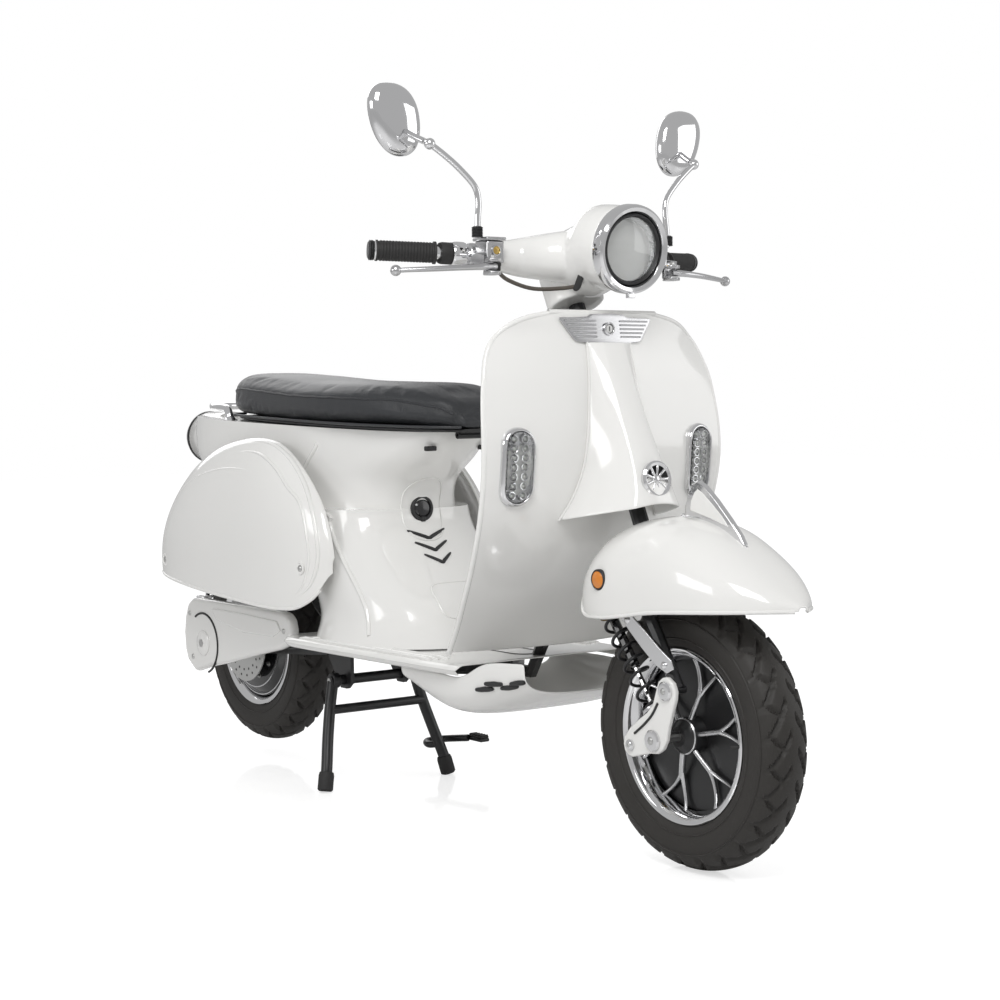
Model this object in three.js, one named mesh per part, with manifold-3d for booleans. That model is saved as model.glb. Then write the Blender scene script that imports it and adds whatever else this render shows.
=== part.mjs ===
// Electric moped scooter, millimetres, +X forward, +Y to the rider's left, +Z up.
// Pieces are drawn with the front axle above x = 0, then the whole scooter is
// shifted so that the middle of its length lies at x = 0. The floor is z = 0.
import * as THREE from 'three'
import { mergeVertices } from 'three/addons/utils/BufferGeometryUtils.js'
import Module from 'manifold-3d'

const wasm = await Module()
wasm.setup()

// ---- driving dimensions -------------------------------------------------
const GAP = 0.4                 // clearance between pieces that touch
const WHEELBASE = 1350
const TYRE_RADIUS = 216
const TYRE_HALF_WIDTH = 46
const RIM_RADIUS = 140
const REAR_LIFT = 30            // the rear tyre hangs clear on the centre stand
const AXLE_RADIUS = 7
const RAKE = 24.5               // steering axis from the vertical, degrees
const HEAD_X = -303             // a point on the steering axis, below the bars
const HEAD_Z = 905
const HEAD_TUBE_RADIUS = 27
const STEM_RADIUS = 14
const BAR_RADIUS = 11
const SKIN = 3                  // body panel thickness
const SHIELD_HALF_WIDTH = 253
const FLOOR_TOP = 303
const FLOOR_THICK = 20
const FLOOR_HALF_WIDTH = 212
const COWL_BULGE = 232          // half width over the side cowls
const SEAT_LENGTH = 806
const SEAT_HALF_WIDTH = 150
const SEAT_THICK = 74
const SEAT_FRONT_X = -584
const STAND_PIVOT = [-950, 0, 205]
const STAND_FOOT = [-905, 0, 0]
const STAND_FOOT_Y = 144
const FENDER_HALF_WIDTH = 112
const HEADLIGHT = [-155, 0, 991]
const HEADLIGHT_RADIUS = 73
const HEADLIGHT_TILT = 7
const GRIP_RADIUS = 17
const LINK_PIVOT = [30, 0, 297]
const SWING_PIVOT = [-985, 0, 268]

const REAR_AXLE = [-WHEELBASE, 0, TYRE_RADIUS + REAR_LIFT]
const FRONT_AXLE = [0, 0, TYRE_RADIUS]
const rad = THREE.MathUtils.degToRad

// ---- helpers --------------------------------------------------------------
const v = (p) => new THREE.Vector3(p[0], p[1], p[2])

// A three.js geometry as a manifold solid.
function solid(geometry) {
  const g = geometry.clone()
  g.deleteAttribute('normal')
  g.deleteAttribute('uv')
  const m = mergeVertices(g, 1e-4)
  return new wasm.Manifold(new wasm.Mesh({
    numProp: 3,
    vertProperties: new Float32Array(m.attributes.position.array),
    triVerts: new Uint32Array(m.index.array),
  }))
}

const join = (...parts) => parts.reduce((a, b) => a.add(b))
// The corner radius of a bore whose flats clear a shaft that turns inside it.
const turning = (radius, sides) => (radius + GAP) / Math.cos(Math.PI / sides)
const cut = (a, ...tools) => tools.reduce((s, t) => s.subtract(t), a)

function placed(geometry, at) {
  return solid(geometry.translate(at[0], at[1], at[2]))
}

function block(lo, hi) {
  const g = new THREE.BoxGeometry(hi[0] - lo[0], hi[1] - lo[1], hi[2] - lo[2])
  return placed(g, [(lo[0] + hi[0]) / 2, (lo[1] + hi[1]) / 2, (lo[2] + hi[2]) / 2])
}

// A round bar from a to b, with its own radius at each end.
function rod(a, b, ra, rb = ra, sides = 8) {
  const from = v(a)
  const to = v(b)
  const span = to.clone().sub(from)
  const g = new THREE.CylinderGeometry(rb, ra, span.length(), sides)
  const turn = new THREE.Quaternion()
  turn.setFromUnitVectors(new THREE.Vector3(0, 1, 0), span.clone().normalize())
  g.applyQuaternion(turn)
  const mid = from.add(to).multiplyScalar(0.5)
  return placed(g, mid.toArray())
}

// A tube swept along a smooth curve through the points.
function tube(points, radius, sides = 8, steps = 24) {
  const path = new THREE.CatmullRomCurve3(points.map(v), false, 'centripetal')
  const shape = new THREE.Shape()
  for (let i = 0; i < sides; i++) {
    const a = (2 * Math.PI * i) / sides
    const x = radius * Math.cos(a)
    const y = radius * Math.sin(a)
    if (i === 0) shape.moveTo(x, y)
    else shape.lineTo(x, y)
  }
  return solid(new THREE.ExtrudeGeometry(shape, { steps, extrudePath: path, bevelEnabled: false }))
}

// A turned piece: profile of [radius, along], about a line through `at`.
function turned(profile, at, axis = 'y', segments = 32) {
  const g = new THREE.LatheGeometry(profile.map((p) => new THREE.Vector2(p[0], p[1])), segments)
  if (axis === 'x') g.rotateZ(-Math.PI / 2)
  if (axis === 'z') g.rotateX(Math.PI / 2)
  return placed(g, at)
}

// An outline in X and Z, extruded from y0 to y1.
function plateXZ(outline, y0, y1) {
  const shape = new THREE.Shape(outline.map((p) => new THREE.Vector2(p[0], p[1])))
  const g = new THREE.ExtrudeGeometry(shape, { depth: y1 - y0, bevelEnabled: false })
  g.rotateX(Math.PI / 2)
  return placed(g, [0, y1, 0])
}

// An outline in X and Y, extruded from z0 to z1.
function plateXY(outline, z0, z1) {
  const shape = new THREE.Shape(outline.map((p) => new THREE.Vector2(p[0], p[1])))
  return placed(new THREE.ExtrudeGeometry(shape, { depth: z1 - z0, bevelEnabled: false }), [0, 0, z0])
}

// Triangles through two grids of points, wound so that the first one faces out.
function gridBody(front, back) {
  const nu = front.length
  const nv = front[0].length
  const points = [...front.flat(), ...back.flat()]
  const index = []
  const id = (side, i, j) => side * nu * nv + i * nv + j
  const quad = (a, b, c, d) => index.push(a, b, c, a, c, d)
  for (let i = 0; i < nu - 1; i++) {
    for (let j = 0; j < nv - 1; j++) {
      quad(id(0, i, j), id(0, i + 1, j), id(0, i + 1, j + 1), id(0, i, j + 1))
      quad(id(1, i, j), id(1, i, j + 1), id(1, i + 1, j + 1), id(1, i + 1, j))
    }
  }
  for (let i = 0; i < nu - 1; i++) {
    quad(id(0, i, 0), id(1, i, 0), id(1, i + 1, 0), id(0, i + 1, 0))
    quad(id(0, i, nv - 1), id(0, i + 1, nv - 1), id(1, i + 1, nv - 1), id(1, i, nv - 1))
  }
  for (let j = 0; j < nv - 1; j++) {
    quad(id(0, 0, j), id(0, 0, j + 1), id(1, 0, j + 1), id(1, 0, j))
    quad(id(0, nu - 1, j), id(1, nu - 1, j), id(1, nu - 1, j + 1), id(0, nu - 1, j + 1))
  }
  const g = new THREE.BufferGeometry()
  g.setAttribute('position', new THREE.Float32BufferAttribute(points.flatMap((p) => p.toArray()), 3))
  g.setIndex(index)
  return outward(g)
}

// A closed geometry with its faces turned out, as a solid.
function outward(g) {
  const p = g.attributes.position
  const t = g.index.array
  let volume = 0
  const a = new THREE.Vector3()
  const b = new THREE.Vector3()
  const c = new THREE.Vector3()
  for (let i = 0; i < t.length; i += 3) {
    a.fromBufferAttribute(p, t[i])
    b.fromBufferAttribute(p, t[i + 1])
    c.fromBufferAttribute(p, t[i + 2])
    volume += a.dot(b.cross(c))
  }
  if (volume < 0) {
    const flipped = Array.from(t)
    for (let i = 0; i < flipped.length; i += 3) [flipped[i], flipped[i + 1]] = [flipped[i + 1], flipped[i]]
    g.setIndex(flipped)
  }
  return solid(g)
}

// A thin panel: surface(u, w) for u and w from 0 to 1, thickened along its normal.
// side is 1 or -1, the side of the surface that the thickness goes to.
function panel(surface, nu, nv, thick = SKIN, side = 1, lift = 0) {
  const front = []
  const back = []
  const step = 1e-3
  for (let i = 0; i <= nu; i++) {
    front.push([])
    back.push([])
    for (let j = 0; j <= nv; j++) {
      const u = i / nu
      const w = j / nv
      const at = v(surface(u, w))
      const du = v(surface(Math.min(1, u + step), w)).sub(v(surface(Math.max(0, u - step), w)))
      const dw = v(surface(u, Math.min(1, w + step))).sub(v(surface(u, Math.max(0, w - step))))
      const normal = du.cross(dw).normalize().multiplyScalar(side)
      front[i].push(at.clone().addScaledVector(normal, lift))
      back[i].push(at.clone().addScaledVector(normal, lift + thick))
    }
  }
  return gridBody(front, back)
}

// A solid through closed rings of points, capped at both ends.
function loft(rings) {
  const n = rings[0].length
  const points = []
  const index = []
  const centres = [rings[0], rings[rings.length - 1]].map((ring) => {
    const c = new THREE.Vector3()
    ring.forEach((p) => c.add(v(p)))
    return c.multiplyScalar(1 / n)
  })
  rings.forEach((ring) => ring.forEach((p) => points.push(v(p))))
  points.push(...centres)
  const last = (rings.length - 1) * n
  for (let i = 0; i < n; i++) {
    const k = (i + 1) % n
    for (let r = 0; r < rings.length - 1; r++) {
      index.push(r * n + i, r * n + k, (r + 1) * n + k, r * n + i, (r + 1) * n + k, (r + 1) * n + i)
    }
    index.push(rings.length * n, k, i, rings.length * n + 1, last + i, last + k)
  }
  const g = new THREE.BufferGeometry()
  g.setAttribute('position', new THREE.Float32BufferAttribute(points.flatMap((p) => p.toArray()), 3))
  g.setIndex(index)
  return outward(g)
}

// The value at x of a smooth line through [x, value] pairs in rising x.
function along(table, x) {
  if (x <= table[0][0]) return table[0][1]
  for (let i = 1; i < table.length; i++) {
    if (x <= table[i][0]) {
      const t = (x - table[i - 1][0]) / (table[i][0] - table[i - 1][0])
      const before = table[Math.max(0, i - 2)]
      const after = table[Math.min(table.length - 1, i + 1)]
      const span = table[i][0] - table[i - 1][0]
      const m0 = (span * (table[i][1] - before[1])) / (table[i][0] - before[0])
      const m1 = (span * (after[1] - table[i - 1][1])) / (after[0] - table[i - 1][0])
      const t2 = t * t
      const t3 = t2 * t
      return (2 * t3 - 3 * t2 + 1) * table[i - 1][1] + (t3 - 2 * t2 + t) * m0
        + (3 * t2 - 2 * t3) * table[i][1] + (t3 - t2) * m1
    }
  }
  return table[table.length - 1][1]
}

// A point on or beside the steering axis: s along it (down), f forward of it, y to the left.
const STEER_DOWN = [Math.sin(rad(RAKE)), 0, -Math.cos(rad(RAKE))]
function onSteer(s, f = 0, y = 0) {
  const x = HEAD_X + s * STEER_DOWN[0] + f * Math.cos(rad(RAKE))
  const z = HEAD_Z + s * STEER_DOWN[2] + f * Math.sin(rad(RAKE))
  return [x, y, z]
}

// ---- materials and the scene ----------------------------------------------
const FINISHES = {
  white: [0xe9e7e0, 0.25, 0.0],
  chrome: [0xd8d8da, 0.12, 1.0],
  silver: [0xb4b6b8, 0.35, 0.9],
  black: [0x141414, 0.55, 0.0],
  steel: [0x2a2a2c, 0.45, 0.7],
  rubber: [0x1d1a17, 0.8, 0.0],
  vinyl: [0x16171a, 0.5, 0.0],
  clear: [0xdfe4e6, 0.08, 0.0],
  red: [0xa01812, 0.2, 0.0],
  disc: [0xa9abad, 0.3, 1.0],
}

const scooter = new THREE.Group()

function add(name, body, finish) {
  const mesh = body.getMesh()
  const g = new THREE.BufferGeometry()
  g.setAttribute('position', new THREE.Float32BufferAttribute(mesh.vertProperties, 3))
  g.setIndex(Array.from(mesh.triVerts))
  g.computeVertexNormals()
  const [color, roughness, metalness] = FINISHES[finish]
  const item = new THREE.Mesh(g, new THREE.MeshStandardMaterial({ color, roughness, metalness }))
  item.name = name
  scooter.add(item)
}

// Both hands of a piece: make(side) with side -1 for right and 1 for left.
function pair(name, make, finish) {
  add(`${name}_right`, make(-1), finish)
  add(`${name}_left`, make(1), finish)
}

// ---- shape lines of the body (x or half width against height z) --------------
const SHIELD_CELLS = [10, 10]
const INNER_CELLS = [10, 6]
const SHIELD_TOP = 892
const SHIELD_FOOT = 322
const shieldHalf = (z) => (SHIELD_HALF_WIDTH / 253) * along([[300, 198], [365, 214], [430, 230],
  [560, 248], [680, 253], [775, 244], [830, 226], [862, 196], [880, 158], [SHIELD_TOP, 96]], z)
const shieldCentre = (z) => along([[300, -380], [365, -338], [430, -290], [500, -246],
  [570, -216], [660, -203], [775, -210], [850, -222], [SHIELD_TOP, -228]], z)
const shieldEdge = (z) => along([[300, -420], [365, -362], [430, -312], [500, -270],
  [570, -240], [660, -224], [775, -236], [850, -250], [SHIELD_TOP, -232]], z)
const shieldX = (y, z) => {
  const t = Math.min(1, Math.abs(y) / shieldHalf(z))
  return shieldCentre(z) + (shieldEdge(z) - shieldCentre(z)) * t ** 2.2
}

const shieldFace = (u, w) => {
  const z = SHIELD_FOOT + (SHIELD_TOP - SHIELD_FOOT) * w
  const y = (2 * u - 1) * shieldHalf(z)
  return [shieldX(y, z), y, z]
}

// The front apron, open down the middle where the steering head stands.
function legShield() {
  const sheet = panel(shieldFace, SHIELD_CELLS[0], SHIELD_CELLS[1], SKIN, -1)
  return cut(sheet, block([-420, -HEAD_TUBE_RADIUS - 20, 480], [-60, HEAD_TUBE_RADIUS + 20, 800]),
    ...[-1, 1].map((s) => rod([-300, s * INDICATOR_Y, INDICATOR_Z], [-150, s * INDICATOR_Y,
      INDICATOR_Z], 8.8)))
}

// The cover behind the apron, on the rider's side, bulged over the steering head.
const innerBulge = (y) => 16 + 84 * Math.exp(-((y / 74) ** 4))
const innerFace = (u, w) => {
  const z = SHIELD_FOOT + (SHIELD_TOP - 16 - SHIELD_FOOT) * w
  const y = (2 * u - 1) * (shieldHalf(z) - 12)
  return [shieldX(y, z) - SKIN - innerBulge(y), y, z]
}
const innerShield = () => panel(innerFace, INNER_CELLS[0], INNER_CELLS[1], SKIN, -1)

// The raised middle of the apron, which carries the horn.
const PANEL_TOP = 842
const PANEL_FOOT = 578
const PANEL_DROP = 28           // how much lower its outer corners reach
const panelHalf = (z) => along([[PANEL_FOOT, 104], [610, 84], [660, 66], [760, 52], [PANEL_TOP, 46]], z)
const panelCrown = (z) => along([[PANEL_FOOT, -88], [610, -98], [650, -116], [720, -152],
  [790, -184], [PANEL_TOP, -206]], z)
function frontPanel() {
  const face = (u, w) => {
    const level = PANEL_FOOT + (PANEL_TOP - PANEL_FOOT) * w
    const t = 2 * u - 1
    const y = t * panelHalf(level)
    const z = level - PANEL_DROP * t * t * (1 - w) ** 2
    const side = shieldX(y, z) + 2
    return [side + (panelCrown(level) - side) * (1 - Math.abs(t) ** 2.6), y, z]
  }
  const boss = rod([-240, 0, 740], [panelCrown(740), 0, 740], 8, 8, 6)
  return join(panel(face, 10, 8, SKIN, 1), cut(boss, rod(onSteer(60), onSteer(300),
    HEAD_TUBE_RADIUS + GAP, HEAD_TUBE_RADIUS + GAP, 10)))
}

// An oblong indicator let into the apron.
const INDICATOR_Y = 192
const INDICATOR_Z = 640
function indicator(s) {
  const n = 10
  const ring = (grow, out) => Array.from({ length: 2 * n }, (_, i) => {
    const a = (Math.PI * (i % n)) / (n - 1) + (i < n ? 0 : Math.PI)
    const half = 31 - grow
    const y = s * INDICATOR_Y + half * Math.cos(a)
    const z = INDICATOR_Z + half * Math.sin(a) + (i < n ? 35 : -35)
    return [shieldX(y, z) + out, y, z]
  })
  const behind = panel(shieldFace, SHIELD_CELLS[0], SHIELD_CELLS[1], 60, -1, -GAP)
  const lamp = cut(loft([ring(0, -8), ring(0, 8), ring(6, 12)]), behind)
  const x = shieldX(s * INDICATOR_Y, INDICATOR_Z)
  return join(lamp, rod([x - 12, s * INDICATOR_Y, INDICATOR_Z], [x + 4, s * INDICATOR_Y, INDICATOR_Z],
    8, 8, 6))
}

// The floor, with its turned-down edge and the two side wings beside the body.
const FLOOR_FRONT = -392
const FLOOR_REAR = -968
function footboard() {
  const w = FLOOR_HALF_WIDTH
  const half = [[FLOOR_FRONT, 196], [-480, w - 10], [-700, w - 4], [-900, w], [-948, w - 6],
    [FLOOR_REAR, w - 28]]
  const outline = [...half, ...half.slice().reverse().map(([x, y]) => [x, -y])]
  const slab = plateXY(outline, FLOOR_TOP - FLOOR_THICK, FLOOR_TOP)
  return cut(slab, block([-460, -24, 200], [-380, 24, 400]),
    block([-1000, -110, 200], [-924, 110, 400]))
}

// The fairing under the floor, swept up at the front behind the wheel.
const BELLY_REAR = -600
const BELLY_TOP = FLOOR_TOP - FLOOR_THICK - GAP
function bellyFairing() {
  const low = (x) => along([[BELLY_REAR, 246], [-473, 204], [-383, 214], [-300, 238], [-236, 262]], x)
  const half = (x) => along([[BELLY_REAR, 168], [-473, 178], [-383, 182], [-300, 176], [-236, 168]], x)
  const top = (x) => along([[BELLY_REAR, BELLY_TOP], [-470, BELLY_TOP], [-405, BELLY_TOP], [-330, 310],
    [-236, 318]], x)
  const face = (u, w) => {
    const x = BELLY_REAR + (-236 - BELLY_REAR) * w
    const a = Math.PI * u
    const y = half(x) * Math.sign(Math.cos(a)) * Math.abs(Math.cos(a)) ** 0.6
    return [x, y, top(x) - (top(x) - low(x)) * Math.sin(a) ** 0.5]
  }
  const sheet = panel(face, 12, 6, SKIN, -1)
  const wheelRecess = rod([-8, 0, 150], [-8, 0, 420], 238, 238, 14)
  return cut(sheet, wheelRecess, block([BELLY_REAR - 10, -300, BELLY_TOP], [FLOOR_FRONT + GAP, 300, 400]))
}

// The frame: steering head, down tube, floor rails, rear loop and cross tubes.
const RAIL_Y = 70
const RAIL_RADIUS = 13
const RAIL_Z = FLOOR_TOP - FLOOR_THICK - GAP - RAIL_RADIUS
const SEAT_RAIL_Y = 118
const SEAT_RAIL_Z = 640
const SEAT_RAIL_END = -1420
const SHOCK_POST_Y = 94
const REAR_SHOCK_TOP = [-1368, 118, 512]
const REAR_SHOCK_FOOT = [-1422, 118, 300]
const PIVOT_RADIUS = 10
const PIN_RADIUS = 5
function rearRail(s, grow) {
  const r = 12 + grow
  return join(
    tube([[-930, s * RAIL_Y, RAIL_Z], [-1050, s * 96, 400], [-1100, s * 110, 560],
      [-1150, s * SEAT_RAIL_Y, SEAT_RAIL_Z]], r, 6, 8),
    rod([-860, s * 100, SEAT_RAIL_Z], [-1150, s * SEAT_RAIL_Y, SEAT_RAIL_Z], r - 3, r - 3),
    rod([-1140, s * SEAT_RAIL_Y, SEAT_RAIL_Z], [-1335, s * 113, SEAT_RAIL_Z], r, r),
    rod([-1330, s * 113, SEAT_RAIL_Z], [SEAT_RAIL_END, s * 92, SEAT_RAIL_Z], r, r))
}
function frame() {
  const head = rod(onSteer(100), onSteer(272), HEAD_TUBE_RADIUS, HEAD_TUBE_RADIUS, 10)
  const down = tube([onSteer(200, -12), [-300, 0, 560], [-372, 0, 400], [-436, 0, RAIL_Z], [-520, 0,
    RAIL_Z]], 12, 6, 7)
  const cross = (x, z, half, r = 11) => rod([x, -half, z], [x, half, z], r, r, 6)
  const rails = [-1, 1].map((s) => join(
    tube([[-500, 0, RAIL_Z], [-570, s * RAIL_Y, RAIL_Z], [-900, s * RAIL_Y, RAIL_Z], [-960, s * RAIL_Y,
      RAIL_Z]],
      RAIL_RADIUS, 6, 5),
    rearRail(s, 0),
    rod([REAR_SHOCK_TOP[0], s * SHOCK_POST_Y, REAR_SHOCK_TOP[2] - 8], [REAR_SHOCK_TOP[0],
      s * SHOCK_POST_Y, SEAT_RAIL_Z], 7, 7, 6),
    rod([REAR_SHOCK_TOP[0], s * SHOCK_POST_Y, SEAT_RAIL_Z], [REAR_SHOCK_TOP[0], s * SEAT_RAIL_Y,
      SEAT_RAIL_Z], 7, 7, 6),
    rod([REAR_SHOCK_TOP[0], s * SHOCK_POST_Y, REAR_SHOCK_TOP[2]],
      [REAR_SHOCK_TOP[0], s * (REAR_SHOCK_TOP[1] + 12), REAR_SHOCK_TOP[2]], PIN_RADIUS, PIN_RADIUS, 10),
    plateXZ([[-925, 272], [-925, 200], [-940, 188], [-962, 188], [-1006, 246], [-1008, 290], [-985, 296]],
      s * 66 - 4, s * 66 + 4)))
  const ties = [140, 230].map((s) => rod(onSteer(s, 0, -58), onSteer(s, 0, 58), 9, 9, 6))
  const prongs = [-1, 1].flatMap((side) => [
    rod(onSteer(140, 0, side * 54), onSteer(140, 90, side * 54), 7, 7, 6),
    rod(onSteer(230, 0, side * 54), onSteer(230, -150, side * 54), 7, 7, 8)])
  const shieldZone = panel(shieldFace, SHIELD_CELLS[0], SHIELD_CELLS[1], 90 + SKIN + GAP, -1, -90)
  const innerZone = panel(innerFace, INNER_CELLS[0], INNER_CELLS[1], 160, -1, -GAP)
  const bracket = cut(join(...ties, ...prongs), shieldZone, innerZone)
  const body = join(head, down, rod([-500, 0, RAIL_Z], [-570, 0, RAIL_Z], RAIL_RADIUS), bracket, ...rails,
    cross(-570, RAIL_Z, RAIL_Y), cross(-900, RAIL_Z, RAIL_Y), cross(-860, SEAT_RAIL_Z, 100, 9),
    cross(SEAT_RAIL_END + 6, SEAT_RAIL_Z, 92, 9))
  const bore = (at, half) => rod([at[0], -half, at[2]], [at[0], half, at[2]], turning(PIVOT_RADIUS, 10),
    turning(PIVOT_RADIUS, 10), 10)
  return cut(body, rod(onSteer(90), onSteer(282), turning(STEM_RADIUS, 12), turning(STEM_RADIUS, 12), 12),
    bore(STAND_PIVOT, 90), bore(SWING_PIVOT, 90))
}

// ---- rear body ---------------------------------------------------------------
const BODY_FOOT = FLOOR_TOP + GAP
const BODY_TOP = 688
const WHEEL_CEILING = 540       // underside of the body over the rear wheel
const BODY_SLOPE = 0.03         // the seat line rises towards the tail
const slope = (x, z) => BODY_SLOPE * (-600 - x) * Math.max(0, (z - BODY_FOOT) / (BODY_TOP - BODY_FOOT))
const bodyFront = (z) => along([[300, -556], [330, -590], [381, -624], [440, -690], [488, -738],
  [538, -762], [590, -744], [640, -672], [670, -638], [BODY_TOP, -628]], z)
const bodyRear = (z) => (z < WHEEL_CEILING ? along([[300, -964], [350, -974], [410, -1012], [480, -1064],
  [WHEEL_CEILING - 1, -1088]], z) : along([[WHEEL_CEILING, -1400], [580, -1480],
  [620, -1540], [660, -1562], [BODY_TOP, -1562]], z))
const bodyHalf = (z) => along([[300, 198], [330, 178], [365, 170], [500, 166], [600, 157], [BODY_TOP,
  142]], z)
function bodySolid(inset, top) {
  const levels = [BODY_FOOT, 330, 381, 440, 488, WHEEL_CEILING - 1, WHEEL_CEILING + 8, 590, 640, top]
  const n = 16
  return loft(levels.map((level) => {
    const shape = level - inset
    const rear = bodyRear(shape) + inset
    const front = bodyFront(shape) - inset
    const mid = (front + rear) / 2
    const z = level === BODY_FOOT && inset > 0 ? level - 5 : level
    return Array.from({ length: n }, (_, i) => {
      const a = (2 * Math.PI * i) / n
      const power = 2 / 2.5
      const c = Math.sign(Math.cos(a)) * Math.abs(Math.cos(a)) ** power
      const s = Math.sign(Math.sin(a)) * Math.abs(Math.sin(a)) ** power
      const x = mid + ((front - rear) / 2) * c
      return [x, (bodyHalf(shape) - inset) * s, z + slope(x, z)]
    })
  }))
}
const HINGE = [-612, 0, 684]    // the seat hinge, ahead of the neck
const BAY = { front: -700, rear: -1262, half: 92 }
const GRAB_FOOT = [-1310, 113]
const GRAB_RADIUS = 8
function rearBody() {
  const shell = cut(bodySolid(0, BODY_TOP), bodySolid(SKIN, BODY_TOP - SKIN))
  const ears = [-1, 1].map((s) => plateXZ([[-608.4, 678], [-608.4, 684], [-609.4, 686.6], [-612, 687.6],
    [-618, 687], [-650, 684], [-650, 662]], s * 36 - 3, s * 36 + 3))
  const hinge = join(...ears, rod([HINGE[0], -36, HINGE[2]], [HINGE[0], 36, HINGE[2]], 3, 3, 6))
  const bay = block([BAY.rear, -BAY.half, 660], [BAY.front, BAY.half, 760])
  return cut(join(shell, hinge), bay, ...[-1, 1].map((s) => rearRail(s, 2)),
    ...[-1, 1].map((s) => rod([GRAB_FOOT[0], s * GRAB_FOOT[1], 650], [GRAB_FOOT[0], s * GRAB_FOOT[1],
      740], GRAB_RADIUS + 2)),
    ...[-1, 1].map((s) => rod([REAR_SHOCK_TOP[0], s * SHOCK_POST_Y, 500], [REAR_SHOCK_TOP[0],
      s * SHOCK_POST_Y, 600], 7 + 1)))
}

// A bulged cowl on each flank, open below.
const COWL_INNER = 176
const COWL_FRONT = -806
const COWL_REAR = -1478
const cowlTop = (x) => along([[COWL_REAR, 432], [-1440, 510], [-1380, 575], [-1300, 628], [-1200, 662],
  [-1080, 676],
  [-1000, 668], [-940, 640], [-880, 594], [-838, 545], [-814, 490], [COWL_FRONT, 452]], x)
const cowlFoot = (x) => along([[COWL_REAR, 394], [-1400, 384], [-1100, 362], [-900, 358], [-836, 386],
  [COWL_FRONT, 430]], x)
const cowlFace = (side) => (u, w) => {
  const x = COWL_REAR + (COWL_FRONT - COWL_REAR) * u
  const ends = Math.max(0, 1 - Math.abs(2 * u - 1) ** 3.2) ** 0.55
  const over = Math.max(0, (w - 0.28) / 0.72)
  const under = Math.max(0, (0.28 - w) / 0.28)
  const round = Math.max(0, 1 - over ** 2.8) ** 0.6 - 0.08 * under ** 2
  const z = cowlFoot(x) + (cowlTop(x) - cowlFoot(x)) * w
  return [x, side * (COWL_INNER + (COWL_BULGE - COWL_INNER) * ends * round), z]
}
function sideCowl(side) {
  const sheet = panel(cowlFace(side), 12, 6, SKIN, side)
  const boss = rod([-1000, side * 140, 480], [-1000, side * (COWL_BULGE - 2), 480], 9, 9, 6)
  return cut(join(sheet, boss), bodySolid(-GAP, BODY_TOP + GAP))
}

// ---- seat ----------------------------------------------------------------------
const SEAT_REAR_X = SEAT_FRONT_X - SEAT_LENGTH
const SEAT_Z = BODY_TOP + GAP
const PAN_THICK = 7
const seatHalf = (x) => (SEAT_HALF_WIDTH / 150) * along([[SEAT_REAR_X, 30], [SEAT_REAR_X + 30, 72],
  [-1300, 100], [-1180, 128], [-1000, 146], [-870, 150], [-760, 138], [-660, 104], [-610, 70],
  [SEAT_FRONT_X, 30]], x)
const seatTop = (x) => along([[SEAT_REAR_X, 30], [-1376, 64], [-1330, SEAT_THICK + 16], [-1200,
  SEAT_THICK + 18],
  [-1023, SEAT_THICK + 12], [-844, SEAT_THICK + 12], [-710, SEAT_THICK + 12], [-640, SEAT_THICK + 2],
  [-600, 60], [SEAT_FRONT_X, 26]], x)
function seatRings(low, high, inset, count) {
  const rings = []
  for (let i = 0; i <= count; i++) {
    const x = SEAT_REAR_X + inset + ((SEAT_LENGTH - 2 * inset) * (1 - Math.cos((Math.PI * i) / count))) / 2
    const half = seatHalf(x) - inset
    const z0 = low(x)
    const z1 = high(x)
    const ring = []
    for (let k = 0; k < 12; k++) {
      const a = (2 * Math.PI * (k + 0.5)) / 12
      const c = Math.sign(Math.cos(a)) * Math.abs(Math.cos(a)) ** 0.6
      const s = Math.sign(Math.sin(a)) * Math.abs(Math.sin(a)) ** 0.6
      ring.push([x, half * c, (z0 + z1) / 2 + ((z1 - z0) / 2) * s + slope(x, BODY_TOP)])
    }
    rings.push(ring)
  }
  return loft(rings)
}
function seatPan() {
  const plate = seatRings(() => SEAT_Z, () => SEAT_Z + PAN_THICK, 8, 10)
  const barrel = rod([HINGE[0], -32, HINGE[2]], [HINGE[0], 32, HINGE[2]], 7, 7, 8)
  const web = block([HINGE[0] - 6, -30, HINGE[2]], [HINGE[0] + 6, 30, SEAT_Z + 4])
  return cut(join(plate, barrel, web), rod([HINGE[0], -60, HINGE[2]], [HINGE[0], 60, HINGE[2]],
    turning(3, 6), turning(3, 6), 6))
}
const seatCushion = () => seatRings(() => SEAT_Z + PAN_THICK + GAP, (x) => BODY_TOP + seatTop(x), 0, 14)

// ---- tail --------------------------------------------------------------------
function grabRail() {
  const [x, y] = GRAB_FOOT
  const foot = SEAT_RAIL_Z + 12 + GAP
  return tube([[x, -y, foot], [x, -y, 716], [x - 20, -y + 2, 730], [x - 60, -y + 6, 735], [-1450, -72, 737],
    [-1484, 0, 737], [-1450, 72, 737], [x - 60, y - 6, 735], [x - 20, y - 2, 730], [x, y, 716], [x, y,
      foot]], GRAB_RADIUS, 6, 24)
}
const TAIL_LAMP = [-1640, 0, 668]
const tailLamp = () => cut(join(rod([-1500, 0, 668], [-1612, 0, 668], 56, 56, 14),
  rod([-1612, 0, 668], TAIL_LAMP, 56, 40, 14)), bodySolid(-GAP, BODY_TOP + GAP))

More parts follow.
